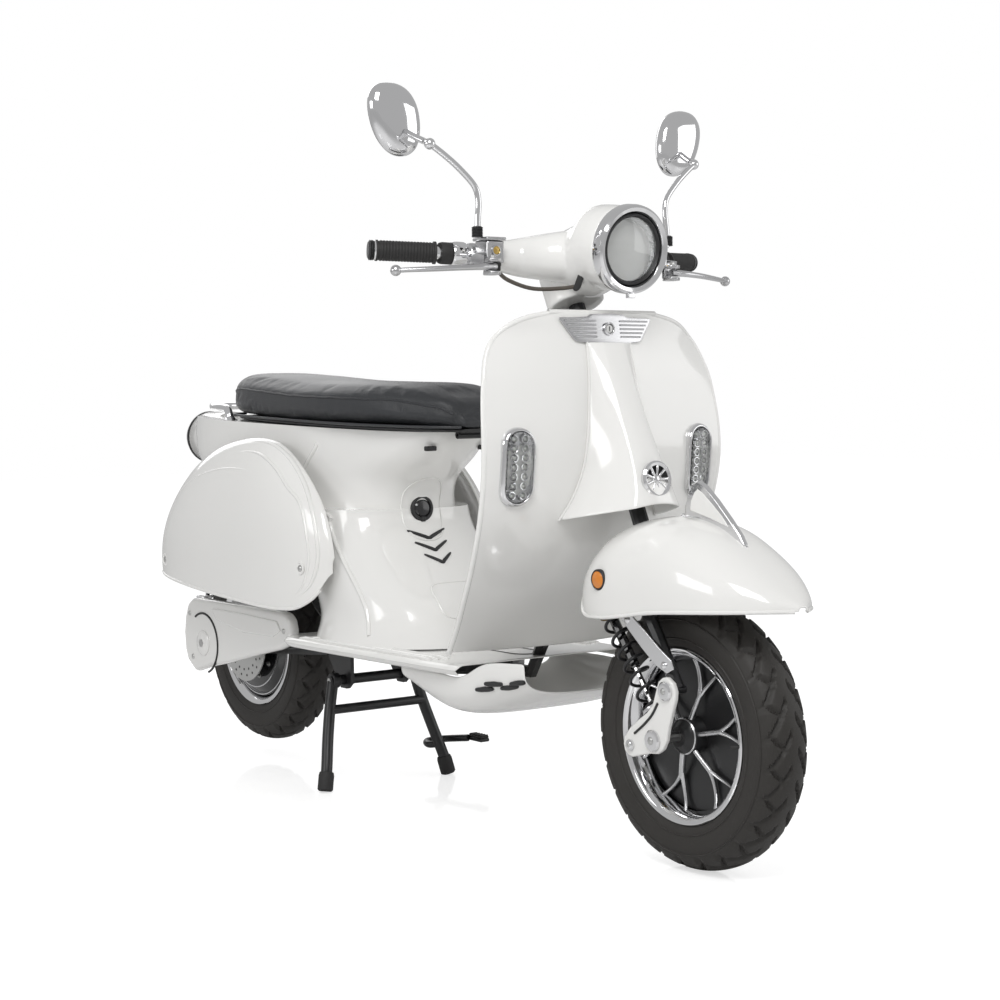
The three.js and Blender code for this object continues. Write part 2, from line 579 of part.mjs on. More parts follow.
const MUDGUARD_RADIUS = 280
function rearMudguard() {
  const face = (u, w) => {
    const a = rad(25 + 120 * u)
    const y = 124 * (w - 0.5)
    const r = MUDGUARD_RADIUS - 14 * (Math.abs(2 * w - 1)) ** 3
    return [REAR_AXLE[0] + r * Math.cos(a), y, REAR_AXLE[2] + r * Math.sin(a)]
  }
  const boss = rod([REAR_AXLE[0], 0, REAR_AXLE[2] + MUDGUARD_RADIUS - 1], [REAR_AXLE[0], 0, 620], 9, 9, 6)
  return cut(join(panel(face, 12, 4, SKIN, -1), boss), bodySolid(-GAP, BODY_TOP))
}
const batteryPack = () => block([-952, -56, BODY_FOOT], [-790, 56, 500])

// ---- centre stand ------------------------------------------------------------
function centreStand() {
  const [px, , pz] = STAND_PIVOT
  const shaft = rod([px, -104, pz], [px, 104, pz], PIVOT_RADIUS, PIVOT_RADIUS, 10)
  const legs = [-1, 1].map((s) => join(
    tube([[px, s * 96, pz], [px + 8, s * 108, 150], [STAND_FOOT[0] - 6, s * (STAND_FOOT_Y - 8), 40],
      [STAND_FOOT[0], s * STAND_FOOT_Y, 6]], 11, 6, 4),
    rod([STAND_FOOT[0], s * STAND_FOOT_Y, 0], [STAND_FOOT[0] - 2, s * (STAND_FOOT_Y - 3), 34], 15, 13, 8)))
  const pedal = join(tube([[-912, 134, 62], [-936, 118, 58], [-960, 130, 60], [-940, 160, 66], [-880,
    196, 72]], 7, 5, 8),
    block([-900, 186, 64], [-852, 210, 80]))
  return join(shaft, ...legs, pedal)
}

// ---- wheels ------------------------------------------------------------------
const BEAD = RIM_RADIUS + GAP
const WHEEL_FACETS = 24
const DISC_HALF = 2
const FRONT_DISC_Y = 52
const REAR_DISC_Y = -66
function tyre(at) {
  const half = TYRE_HALF_WIDTH
  return turned([[BEAD, -38], [176, -half], [206, -34], [TYRE_RADIUS, -8],
    [TYRE_RADIUS, 8], [206, 34], [176, half], [BEAD, 38], [BEAD, -38]], at, 'y', WHEEL_FACETS)
}
const HUB_BORE = AXLE_RADIUS + GAP
function frontRim(at) {
  const barrel = turned([[RIM_RADIUS, -40], [RIM_RADIUS, 40], [RIM_RADIUS - 8, 41], [122, 20], [122, -20],
    [RIM_RADIUS - 8, -41], [RIM_RADIUS, -40]], at, 'y', WHEEL_FACETS)
  const hub = join(rod([at[0], -44, at[2]], [at[0], 44, at[2]], 30, 30, 12),
    rod([at[0], 40, at[2]], [at[0], FRONT_DISC_Y - DISC_HALF - GAP, at[2]], 24, 24, 12))
  const spokes = Array.from({ length: 8 }, (_, i) => {
    const a = (2 * Math.PI * i) / 8
    return rod([at[0] + 24 * Math.cos(a), 0, at[2] + 24 * Math.sin(a)],
      [at[0] + 126 * Math.cos(a), 0, at[2] + 126 * Math.sin(a)], 7, 5, 5)
  })
  return cut(join(barrel, hub, ...spokes), rod([at[0], -60, at[2]], [at[0], 60, at[2]], HUB_BORE,
    HUB_BORE, 10))
}
function rearRim(at) {
  const discFace = REAR_DISC_Y + DISC_HALF + GAP
  const barrel = turned([[RIM_RADIUS, -40], [RIM_RADIUS, 40], [RIM_RADIUS - 8, 41], [120, 30], [104, 44],
    [40, 48], [14, 56], [4, 56], [4, discFace], [22, discFace], [24, -54], [40, -52], [104, -44], [120, -30],
    [RIM_RADIUS - 8, -41], [RIM_RADIUS, -40]], at, 'y', WHEEL_FACETS)
  return cut(barrel, rod([at[0], -80, at[2]], [at[0], 80, at[2]], HUB_BORE, HUB_BORE, 10))
}
function disc(at, y, radius, hub) {
  const plate = rod([at[0], y - DISC_HALF, at[2]], [at[0], y + DISC_HALF, at[2]], radius, radius, 20)
  return cut(plate, rod([at[0], y - 9, at[2]], [at[0], y + 9, at[2]], hub, hub, 12))
}
const axle = (at, half) => rod([at[0], -half, at[2]], [at[0], half, at[2]], AXLE_RADIUS, AXLE_RADIUS, 10)

// A caliper: a block that straddles the disc, cut back to clear it.
function caliper(lo, hi, discY, at, radius) {
  const slot = rod([at[0], discY - 4, at[2]], [at[0], discY + 4, at[2]], radius + 4, radius + 4, 20)
  return cut(block(lo, hi), slot)
}

// ---- rear suspension -----------------------------------------------------------
const ARM_Y = 92
const REAR_DISC_RADIUS = 88
const COVER_Y = 140
function swingarm() {
  const [px, , pz] = SWING_PIVOT
  const [ax, , az] = REAR_AXLE
  const shaft = rod([px, -ARM_Y, pz], [px, ARM_Y, pz], PIVOT_RADIUS, PIVOT_RADIUS, 10)
  const arms = [-1, 1].map((s) => join(
    plateXZ([[px + 18, pz - 14], [px + 18, pz + 14], [px - 40, pz + 22], [ax + 10, az + 24],
      [REAR_SHOCK_FOOT[0], REAR_SHOCK_FOOT[2] + 14],
      [REAR_SHOCK_FOOT[0] - 14, REAR_SHOCK_FOOT[2]], [ax - 42, az + 20], [ax - 30, az - 20], [ax,
        az - 24], [px - 40, pz - 20]], s * ARM_Y - 5, s * ARM_Y + 5),
    rod([REAR_SHOCK_FOOT[0], s * ARM_Y, REAR_SHOCK_FOOT[2]], [REAR_SHOCK_FOOT[0],
      s * (REAR_SHOCK_TOP[1] + 12), REAR_SHOCK_FOOT[2]],
      PIN_RADIUS, PIN_RADIUS, 10),
    rod([px - 60, s * ARM_Y, pz], [px - 60, s * (COVER_Y - GAP), pz], 8, 8, 6)))
  const bore = rod([ax, -120, az], [ax, 120, az], AXLE_RADIUS + GAP, AXLE_RADIUS + GAP, 10)
  return cut(join(shaft, rod([px - 60, -ARM_Y, pz], [px - 60, ARM_Y, pz], 12, 12, 8), ...arms), bore)
}
function swingarmCover() {
  const outline = [[-1000, 276], [-992, 300], [-1000, 326], [-1030, 338], [-1380, 338], [-1420, 326],
    [-1438, 262],
    [-1422, 196], [-1392, 182], [-1250, 214], [-1040, 262]]
  return cut(plateXZ(outline, -168, -COVER_Y), plateXZ(outline.map(([x,
    z]) => [-1215 + (x + 1215) * 0.94, 262 + (z - 262) * 0.88]),
    -150, -COVER_Y + 1).add(block([-1200, -164, 240], [-1150, -130, 300])))
}

// A spring-and-damper leg between two pins: body, rod and coil, all about one line.
// foot and top are the pins; side is the hand it sits on.
function shockLine(top, foot, side) {
  const a = [top[0], side * top[1], top[2]]
  const b = [foot[0], side * foot[1], foot[2]]
  const d = v(b).sub(v(a))
  const length = d.length()
  d.normalize()
  return { length, at: (s) => v(a).addScaledVector(d, s).toArray(), d }
}
const EYE_RADIUS = 11
function shockBody(top, foot, side, bodyRadius) {
  const line = shockLine(top, foot, side)
  const eye = rod([top[0], side * top[1] - 8, top[2]], [top[0], side * top[1] + 8, top[2]], EYE_RADIUS,
    EYE_RADIUS, 8)
  const can = rod(line.at(7), line.at(line.length * 0.56), bodyRadius, bodyRadius, 8)
  const collar = rod(line.at(12), line.at(20), bodyRadius + 7, bodyRadius + 7, 8)
  const pin = rod([top[0], side * top[1] - 20, top[2]], [top[0], side * top[1] + 20, top[2]],
    PIN_RADIUS + GAP, PIN_RADIUS + GAP, 8)
  return cut(join(eye, can, collar), pin, rod(line.at(26), line.at(line.length), ROD_RADIUS + GAP,
    ROD_RADIUS + GAP, 8))
}
const ROD_RADIUS = 4.5
const FOOT_PLAY = 3             // play in the opened lower pivot
function shockRod(top, foot, side, bodyRadius) {
  const line = shockLine(top, foot, side)
  const eye = rod([foot[0], side * foot[1] - 8, foot[2]], [foot[0], side * foot[1] + 8, foot[2]],
    EYE_RADIUS + 2, EYE_RADIUS + 2, 8)
  const stem = rod(line.at(line.length * 0.4), line.at(line.length - 7), ROD_RADIUS, ROD_RADIUS, 8)
  const seat = rod(line.at(line.length - 20), line.at(line.length - 13), bodyRadius + 6, bodyRadius + 6, 8)
  const pin = rod([foot[0], side * foot[1] - 20, foot[2]], [foot[0], side * foot[1] + 20, foot[2]],
    PIN_RADIUS + FOOT_PLAY, PIN_RADIUS + FOOT_PLAY, 12)
  return cut(join(eye, stem, seat), pin)
}
function coil(top, foot, side, bodyRadius) {
  const line = shockLine(top, foot, side)
  const wire = 2.6
  const radius = bodyRadius + wire + 3
  const start = 20 + wire + GAP
  const span = line.length - 20 - wire - GAP - start
  const x = new THREE.Vector3(0, 1, 0)
  const y = line.d.clone().cross(x)
  const points = []
  const steps = COIL_STEPS * COIL_TURNS
  for (let i = 0; i <= steps; i++) {
    const a = (2 * Math.PI * i) / COIL_STEPS
    const p = v(line.at(start + (span * i) / steps))
    points.push(p.addScaledVector(x, radius * Math.cos(a)).addScaledVector(y,
      radius * Math.sin(a)).toArray())
  }
  return tube(points, wire, 4, steps)
}
const COIL_TURNS = 5
const COIL_STEPS = 6

// ---- front suspension ------------------------------------------------------------
const LEG_Y = 70
const LEG_RADIUS = 11
const CROWN_S = 465
const LINK_Y = 92
const FRONT_SHOCK_TOP = [-144, 70, 417]
const FRONT_SHOCK_FOOT = [-15, 70, 245]
const FRONT_DISC_RADIUS = 74
function fork() {
  const stem = rod(onSteer(-66), onSteer(CROWN_S), STEM_RADIUS, STEM_RADIUS, 12)
  const crown = rod(onSteer(CROWN_S, 0, -LEG_Y), onSteer(CROWN_S, 0, LEG_Y), 13, 13, 8)
  const race = rod(onSteer(272 + GAP), onSteer(290), HEAD_TUBE_RADIUS - 2, HEAD_TUBE_RADIUS - 2, 10)
  const legs = [-1, 1].map((s) => join(
    tube([onSteer(CROWN_S, 0, s * LEG_Y), [-52, s * LEG_Y, 424], [LINK_PIVOT[0], s * LEG_Y,
      LINK_PIVOT[2]]], LEG_RADIUS, 8, 5),
    rod([LINK_PIVOT[0], s * (LEG_Y - 12), LINK_PIVOT[2]], [LINK_PIVOT[0], s * (LINK_Y + 6),
      LINK_PIVOT[2]], 7, 7, 8),
    rod([FRONT_SHOCK_TOP[0], s * (LEG_Y - 14), FRONT_SHOCK_TOP[2]], [FRONT_SHOCK_TOP[0],
      s * (LEG_Y + 14), FRONT_SHOCK_TOP[2]],
      PIN_RADIUS, PIN_RADIUS, 10),
    rod([FRONT_SHOCK_TOP[0], s * (LEG_Y - 15), FRONT_SHOCK_TOP[2] - 6], onSteer(CROWN_S + 4, -4,
      s * (LEG_Y - 12)), 5, 8, 6)))
  return join(stem, crown, race, ...legs)
}
const FENDER_FRONT = 231
const FENDER_REAR = -205
const fenderHalf = (x) => (FENDER_HALF_WIDTH / 112) * along([[FENDER_REAR, 66], [-180, 90], [-120, 108],
  [-40, 112], [60, 108], [140, 88], [200, 48], [FENDER_FRONT, 8]], x)
const fenderCrown = (x) => along([[FENDER_REAR, 452], [-190, 492], [-150, 530], [-90, 553], [-20, 560],
  [50, 548], [106, 521], [160, 488], [205, 455], [FENDER_FRONT, 436]], x)
const fenderFoot = (x) => along([[FENDER_REAR, 430], [-175, 402], [-120, 400], [-62, 407], [10, 418],
  [102, 425], [201, 430], [FENDER_FRONT, 430]], x)
function frontFender() {
  const face = (u, w) => {
    const x = FENDER_REAR + ((FENDER_FRONT - FENDER_REAR) * (1 - Math.cos(Math.PI * w))) / 2
    const a = Math.PI * u
    const y = fenderHalf(x) * Math.sign(Math.cos(a)) * Math.abs(Math.cos(a)) ** 0.8
    return [x, y, fenderFoot(x) + (fenderCrown(x) - fenderFoot(x)) * Math.sin(a) ** 0.7]
  }
  const collar = rod(onSteer(380), onSteer(412), 24, 24, 10)
  const shell = cut(panel(face, 10, 9, SKIN, -1), rod(onSteer(300), onSteer(396), 23.5, 23.5, 10))
  return cut(join(shell, collar), rod(onSteer(300), onSteer(470), STEM_RADIUS + GAP, STEM_RADIUS + GAP, 12))
}
function frontLink(side) {
  const outline = [[32, 319], [12, 312], [-2, 272], [-34, 246], [-72, 212], [-72, 192], [-52, 184],
    [-8, 194], [20, 204],
    [34, 240], [52, 288], [46, 310]]
  const plate = plateXZ(outline, Math.min(side * (LINK_Y - 5), side * (LINK_Y + 5)),
    Math.max(side * (LINK_Y - 5), side * (LINK_Y + 5)))
  const pin = rod([FRONT_SHOCK_FOOT[0], side * LINK_Y, FRONT_SHOCK_FOOT[2]],
    [FRONT_SHOCK_FOOT[0], side * (LEG_Y - 10), FRONT_SHOCK_FOOT[2]], PIN_RADIUS, PIN_RADIUS, 10)
  const tab = side > 0 ? block([20, LINK_Y - 5, 166], [72, LINK_Y + 5, 226]) : plate
  const hole = (at, r) => rod([at[0], side * LINK_Y - 20, at[2]], [at[0], side * LINK_Y + 20, at[2]],
    r + GAP, r + GAP, 10)
  return cut(join(plate, pin, tab), hole(LINK_PIVOT, 7), hole(FRONT_AXLE, AXLE_RADIUS))
}

// ---- headset, bars and controls ------------------------------------------------
const aim = rad(-HEADLIGHT_TILT)
const lampLine = (s, up = 0) => [HEADLIGHT[0] + s * Math.cos(aim) - up * Math.sin(aim), 0,
  HEADLIGHT[2] + s * Math.sin(aim) + up * Math.cos(aim)]
const BAR_KNEE = [-340, 150, 986]
const BAR_BEND = [-363, 250, 990]
const BAR_END = [-407, 349, 994]
const hand = (p, side) => [p[0], side * p[1], p[2]]
function headsetCover() {
  const pod = join(rod(lampLine(-16), lampLine(-70), HEADLIGHT_RADIUS - 3, 70, 12), rod(lampLine(-70),
    [-330, 0, 985], 70, 44, 12),
    rod([-330, 0, 985], [-392, 0, 980], 44, 26, 12))
  const arms = [-1, 1].map((s) => join(rod([-300, s * 20, 985], hand([-330, 96, 985], s), 44, 32, 10),
    rod(hand([-330, 96, 985], s), hand([-339, 146, 986], s), 32, 24, 10)))
  const neck = rod(onSteer(0), onSteer(-66), 46, 50, 12)
  const bowl = join(rod(lampLine(10), lampLine(-66), HEADLIGHT_RADIUS - 8, 62, 12), rod(lampLine(-60),
    lampLine(-120), 60, 40, 12))
  const slots = [-1, 1].map((s) => rod([-250, s * 30, 930], [-230, s * 90, 938], 9, 9, 8))
  return cut(join(pod, ...arms, neck), bowl, ...slots, barSolid(GAP), rod(onSteer(-80), onSteer(20),
    CLAMP_RADIUS + GAP, CLAMP_RADIUS + GAP, 12))
}
const CLAMP_RADIUS = 22
function barSolid(grow) {
  const r = BAR_RADIUS + grow
  const mid = rod(hand(BAR_KNEE, -1), hand(BAR_KNEE, 1), r, r, 10)
  const halves = [-1, 1].map((s) => join(rod(hand(BAR_KNEE, s), hand(BAR_BEND, s), r, r, 10),
    rod(hand(BAR_BEND, s), hand(BAR_END, s), r, r, 10)))
  const clamp = rod(onSteer(-26), [onSteer(-92)[0], 0, onSteer(-92)[2]], CLAMP_RADIUS + grow,
    CLAMP_RADIUS + grow, 10)
  return join(mid, ...halves, clamp)
}
const handlebar = () => cut(barSolid(0), rod(onSteer(-66 - GAP), onSteer(10), STEM_RADIUS + GAP,
  STEM_RADIUS + GAP, 12))
const between = (a, b, t) => v(a).lerp(v(b), t).toArray()
function grip(side) {
  const start = hand(between(BAR_BEND, BAR_END, 0.06), side)
  const end = hand(BAR_END, side)
  const flange = [0.055, 0.12].map((t) => hand(between(BAR_BEND, BAR_END, t), side))
  const sleeve = join(rod(start, end, GRIP_RADIUS, GRIP_RADIUS), rod(flange[0], flange[1],
    GRIP_RADIUS + 4, GRIP_RADIUS + 4, 10))
  const past = hand(between(BAR_BEND, BAR_END, 1.05), side)
  const cap = rod(hand(between(BAR_BEND, BAR_END, 0.97), side), past, GRIP_RADIUS - 1, GRIP_RADIUS - 3, 10)
  const bore = rod(hand(BAR_BEND, side), hand(between(BAR_BEND, BAR_END, 1.004), side),
    turning(BAR_RADIUS, 10), turning(BAR_RADIUS, 10), 10)
  return cut(join(sleeve, cap), bore)
}
const LEVER_PIVOT = [-278, 192, 965]
const LEVER_BALL = [-319, 355, 956]
const MIRROR_BASE = [-304, 205, 1013]
const MIRROR_ELBOW = [-307, 201, 1074]
const MIRROR_BALL = [-322, 283, 1160]
const MIRROR_HEAD = [-385, 306, 1206]
function masterCylinder(side) {
  const near = [-330, side * 158, 970]
  const far = [-290, side * 195, 1014]
  const box = block([near[0], Math.min(near[1], far[1]), near[2]], [far[0], Math.max(near[1], far[1]),
    far[2]])
  const arm = block([-334, Math.min(side * 186, side * 222), 972], [-292, Math.max(side * 186,
    side * 222), 1000])
  const boss = rod(hand(MIRROR_BASE, side).map((c, i) => (i === 2 ? 985 : c)), hand(MIRROR_BASE,
    side).map((c, i) => (i === 2 ? 1012.6 : c)), 9, 9, 8)
  const clampAt = [0.42, 0.72].map((t) => hand(between(BAR_KNEE, BAR_BEND, t), side))
  const clamp = rod(clampAt[0], clampAt[1], 20, 20, 10)
  const ear = block([-296, Math.min(side * 182, side * 202), 950], [-266, Math.max(side * 182,
    side * 202), 980])
  const [px, py, pz] = hand(LEVER_PIVOT, side)
  const leverRoom = rod([px, py, pz - 7.4], [px, py, pz + 7.4], 22, 22, 12)
  const leverPin = rod([px, py, pz - 12], [px, py, pz + 12], 4, 4, 8)
  const barBore = rod(hand(BAR_KNEE, side), hand(BAR_BEND, side), BAR_RADIUS + GAP, BAR_RADIUS + GAP, 10)
  const hose = tube([[-300, side * 168, 960], [-296, side * 150, 944], [-280, side * 112, 930], [-252,
    side * 66, 931], [-236, side * 46, 934]], 3, 5, 8)
  return join(cut(join(box, arm, boss, clamp, ear, rod([-300, side * 168, 955], [-300, side * 168,
    975], 6, 6, 8)), barBore, leverRoom), leverPin, hose)
}
function brakeLever(side) {
  const pivot = hand(LEVER_PIVOT, side)
  const ball = hand(LEVER_BALL, side)
  const blade = rod(pivot, ball, 6, 4, 8)
  const eye = rod([pivot[0], pivot[1], pivot[2] - 7], [pivot[0], pivot[1], pivot[2] + 7], 9, 9, 10)
  const knob = placed(new THREE.SphereGeometry(8, 12, 6), ball)
  return cut(join(blade, eye, knob), rod([pivot[0], pivot[1], pivot[2] - 9], [pivot[0], pivot[1],
    pivot[2] + 9], 4 + GAP, 4 + GAP, 8))
}
function mirrorStem(side) {
  const base = hand(MIRROR_BASE, side)
  const ferrule = rod(base, [base[0], base[1], base[2] + 22], 8, 6, 8)
  const stem = tube([base, [base[0], base[1], base[2] + 30], hand(MIRROR_ELBOW, side),
    hand(MIRROR_BALL, side)], 4.5, 6, 8)
  return join(ferrule, stem, placed(new THREE.SphereGeometry(7, 10, 6), hand(MIRROR_BALL, side)))
}
function mirrorHead(side) {
  const head = new THREE.SphereGeometry(1, 10, 7)
  head.scale(13, 44, 60)
  head.rotateX(rad(side * 12))
  const centre = hand(MIRROR_HEAD, side)
  const ball = hand(MIRROR_BALL, side)
  const reach = hand([MIRROR_HEAD[0] + 4, MIRROR_HEAD[1], MIRROR_HEAD[2] - 34], side)
  const socket = rod(between(ball, reach, -0.1), reach, 10, 8, 8)
  const room = placed(new THREE.SphereGeometry(7 + GAP, 10, 6), ball)
  const stemRoom = rod(hand(MIRROR_ELBOW, side), ball, 4.5 + 4, 4.5 + 4, 8)
  return cut(join(placed(head, centre), socket), room, stemRoom)
}
const LENS_RADIUS = 57.6
const headlightRing = () => cut(rod(lampLine(-15.5), lampLine(6), HEADLIGHT_RADIUS,
  HEADLIGHT_RADIUS - 4, 18),
  rod(lampLine(-30), lampLine(30), LENS_RADIUS + GAP, LENS_RADIUS + GAP, 18))
const headlightLens = () => join(rod(lampLine(-34), lampLine(-4), LENS_RADIUS, LENS_RADIUS, 18),
  rod(lampLine(-58), lampLine(-30), 40, LENS_RADIUS, 18))

// ---- the assembly ----------------------------------------------------------------
add('frame', frame(), 'black')
add('leg_shield', legShield(), 'white')
add('inner_shield', innerShield(), 'white')
add('front_panel', frontPanel(), 'white')
pair('indicator', indicator, 'clear')
add('footboard', footboard(), 'white')
add('belly_fairing', bellyFairing(), 'white')
add('rear_body', rearBody(), 'white')
pair('side_cowl', sideCowl, 'white')
add('grab_rail', grabRail(), 'chrome')
add('tail_lamp', tailLamp(), 'red')
add('rear_mudguard', rearMudguard(), 'black')
add('battery_pack', batteryPack(), 'black')
add('seat_pan', seatPan(), 'black')
add('seat_cushion', seatCushion(), 'vinyl')
add('centre_stand', centreStand(), 'black')
add('swingarm', swingarm(), 'steel')
add('swingarm_cover', swingarmCover(), 'white')
add('rear_caliper', caliper([-1330, -86.6, 262], [-1284, -57, 336], REAR_DISC_Y, REAR_AXLE,
  REAR_DISC_RADIUS), 'steel')
add('rear_axle', axle(REAR_AXLE, 112), 'silver')
add('rear_tyre', tyre(REAR_AXLE), 'rubber')
add('rear_rim', rearRim(REAR_AXLE), 'black')
add('rear_disc', disc(REAR_AXLE, REAR_DISC_Y, REAR_DISC_RADIUS, 20), 'disc')
pair('rear_shock_body', (s) => shockBody(REAR_SHOCK_TOP, REAR_SHOCK_FOOT, s, 9), 'steel')
pair('rear_shock_rod', (s) => shockRod(REAR_SHOCK_TOP, REAR_SHOCK_FOOT, s, 9), 'chrome')
pair('rear_shock_spring', (s) => coil(REAR_SHOCK_TOP, REAR_SHOCK_FOOT, s, 9), 'black')
add('fork', fork(), 'steel')
add('front_fender', frontFender(), 'white')
pair('front_link', frontLink, 'white')
add('front_axle', axle(FRONT_AXLE, 98), 'silver')
add('front_caliper', caliper([26, 44.5, 168], [70, LINK_Y - 5 - GAP, 216], FRONT_DISC_Y, FRONT_AXLE,
  FRONT_DISC_RADIUS), 'steel')
add('front_tyre', tyre(FRONT_AXLE), 'rubber')
add('front_rim', frontRim(FRONT_AXLE), 'chrome')
add('front_disc', disc(FRONT_AXLE, FRONT_DISC_Y, FRONT_DISC_RADIUS, 20), 'disc')
pair('front_shock_body', (s) => shockBody(FRONT_SHOCK_TOP, FRONT_SHOCK_FOOT, s, 8), 'black')
pair('front_shock_rod', (s) => shockRod(FRONT_SHOCK_TOP, FRONT_SHOCK_FOOT, s, 8), 'chrome')
pair('front_shock_spring', (s) => coil(FRONT_SHOCK_TOP, FRONT_SHOCK_FOOT, s, 8), 'black')
add('headset_cover', headsetCover(), 'white')
add('headlight_ring', headlightRing(), 'chrome')
add('headlight_lens', headlightLens(), 'clear')
add('handlebar', handlebar(), 'chrome')
pair('master_cylinder', masterCylinder, 'silver')
pair('brake_lever', brakeLever, 'silver')
add('throttle_grip', grip(-1), 'rubber')
add('grip_left', grip(1), 'rubber')
pair('mirror_stem', mirrorStem, 'chrome')
pair('mirror_head', mirrorHead, 'chrome')

const extent = new THREE.Box3().setFromObject(scooter)
scooter.position.x = -(extent.min.x + extent.max.x) / 2
scooter.updateMatrixWorld(true)

export default scooter
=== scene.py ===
import bpy
import bmesh
import math
import random
from mathutils import Matrix, Vector


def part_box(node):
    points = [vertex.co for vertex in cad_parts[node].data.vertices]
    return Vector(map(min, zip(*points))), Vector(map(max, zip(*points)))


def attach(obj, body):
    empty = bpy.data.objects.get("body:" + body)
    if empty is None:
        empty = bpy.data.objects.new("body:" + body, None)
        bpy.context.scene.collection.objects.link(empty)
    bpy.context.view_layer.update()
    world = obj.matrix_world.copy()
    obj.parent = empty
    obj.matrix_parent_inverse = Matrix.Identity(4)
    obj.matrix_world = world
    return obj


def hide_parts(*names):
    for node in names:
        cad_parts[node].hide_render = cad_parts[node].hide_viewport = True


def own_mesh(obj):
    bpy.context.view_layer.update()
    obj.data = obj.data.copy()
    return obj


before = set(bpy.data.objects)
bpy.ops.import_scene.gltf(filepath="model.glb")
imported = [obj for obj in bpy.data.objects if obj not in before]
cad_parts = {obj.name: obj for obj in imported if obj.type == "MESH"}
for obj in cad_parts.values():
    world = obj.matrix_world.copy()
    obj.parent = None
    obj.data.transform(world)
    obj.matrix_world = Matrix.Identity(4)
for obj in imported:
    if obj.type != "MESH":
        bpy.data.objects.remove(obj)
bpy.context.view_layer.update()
random.seed(7)

# Shapes are written in millimetres with the front axle above x = 0, the rider's left
# at +y and the floor at z = 0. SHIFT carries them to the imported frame, in metres.
low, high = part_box("front_axle")
SHIFT = (low[0] + high[0]) / 2
pi, sin, cos, rad = math.pi, math.sin, math.cos, math.radians


def m(p):
    return Vector((p[0] / 1000 + SHIFT, p[1] / 1000, p[2] / 1000))


# ---- materials ----------------------------------------------------------------
def material(name, color, rough, metal=0.0, grain=120.0, bump=0.0, spot=0.08, dark=0.9, cells=False, **fixed):
    """A surface whose colour and roughness drift a little, with a fine bump."""
    mat = bpy.data.materials.new(name)
    mat.use_nodes = True
    nt = mat.node_tree
    shader = nt.nodes["Principled BSDF"]
    coord = nt.nodes.new("ShaderNodeTexCoord")
    drift = nt.nodes.new("ShaderNodeTexNoise")
    drift.inputs["Scale"].default_value = 6.0
    drift.inputs["Detail"].default_value = 4.0
    nt.links.new(coord.outputs["Object"], drift.inputs["Vector"])
    ramp = nt.nodes.new("ShaderNodeMix")
    ramp.data_type = "RGBA"
    ramp.inputs["A"].default_value = (*[c * dark for c in color], 1)
    ramp.inputs["B"].default_value = (*color, 1)
    nt.links.new(drift.outputs["Fac"], ramp.inputs["Factor"])
    nt.links.new(ramp.outputs["Result"], shader.inputs["Base Color"])
    span = nt.nodes.new("ShaderNodeMapRange")
    span.inputs["To Min"].default_value = max(0.02, rough - spot)
    span.inputs["To Max"].default_value = rough + spot
    nt.links.new(drift.outputs["Fac"], span.inputs["Value"])
    nt.links.new(span.outputs["Result"], shader.inputs["Roughness"])
    shader.inputs["Metallic"].default_value = metal
    if bump:
        texture = nt.nodes.new("ShaderNodeTexVoronoi" if cells else "ShaderNodeTexNoise")
        texture.inputs["Scale"].default_value = grain
        nt.links.new(coord.outputs["Object"], texture.inputs["Vector"])
        node = nt.nodes.new("ShaderNodeBump")
        node.inputs["Strength"].default_value = bump
        node.inputs["Distance"].default_value = 0.0006
        nt.links.new(texture.outputs["Distance" if cells else "Fac"], node.inputs["Height"])
        nt.links.new(node.outputs["Normal"], shader.inputs["Normal"])
    for socket, value in fixed.items():
        shader.inputs[socket.replace("_", " ")].default_value = value
    return mat


PAINT = material("pearl_paint", (0.86, 0.855, 0.835), 0.14, grain=900, bump=0.02, spot=0.03, dark=0.985,
                 Coat_Weight=0.6, Coat_Roughness=0.04)
# painted shade: a beige, darker copy of the white paint that stands in for the shade inside the shield recess; no part
# is given it
PAINTED_SHADE_CREAM = material("painted_shade_inside", (0.78, 0.74, 0.62), 0.5, grain=400, bump=0.2, dark=0.94)
CHROME = material("chrome", (0.78, 0.78, 0.79), 0.07, metal=1.0, spot=0.03, dark=0.95)
SATIN = material("satin_metal", (0.62, 0.62, 0.63), 0.26, metal=1.0, grain=700, bump=0.08)
STEEL = material("ground_steel", (0.58, 0.58, 0.57), 0.3, metal=1.0, grain=900, bump=0.15)
BLACK = material("black_powder_coat", (0.016, 0.016, 0.017), 0.32, grain=900, bump=0.15)
GLOSS_BLACK = material("gloss_black", (0.01, 0.01, 0.011), 0.14, spot=0.04, Coat_Weight=0.4)
PLASTIC = material("black_plastic", (0.02, 0.02, 0.021), 0.5, grain=1200, bump=0.3)
RUBBER = material("grip_rubber", (0.022, 0.021, 0.021), 0.62, grain=1500, bump=0.4)
TYRE = material("tyre_rubber", (0.028, 0.025, 0.022), 0.58, grain=500, bump=0.5, dark=0.8)
VINYL = material("seat_vinyl", (0.032, 0.034, 0.038), 0.42, grain=520, bump=0.5, spot=0.06, cells=True)
GOLD = material("gold_anodised", (0.72, 0.5, 0.16), 0.25, metal=1.0)
AMBER = material("amber_lens", (0.75, 0.24, 0.02), 0.18, grain=260, bump=0.6, cells=True, Coat_Weight=0.5)
RED = material("red_lens", (0.42, 0.015, 0.012), 0.15, grain=240, bump=0.6, cells=True, Coat_Weight=0.5)
MIRROR = material("mirror_glass", (0.85, 0.87, 0.88), 0.02, metal=1.0, spot=0.0, dark=1.0)
HOSE = material("braided_hose", (0.09, 0.075, 0.06), 0.4, grain=1400, bump=0.8, cells=True)
GLASS = material("clear_lens", (0.97, 0.98, 0.98), 0.03, spot=0.01, dark=0.99, Transmission_Weight=1.0, IOR=1.45)
LED = material("led_chip", (0.93, 0.93, 0.9), 0.25, grain=500, bump=0.3, cells=True)
SMOKE = material("indicator_mirror", (0.5, 0.5, 0.51), 0.16, metal=0.9, grain=300, bump=0.5, cells=True)


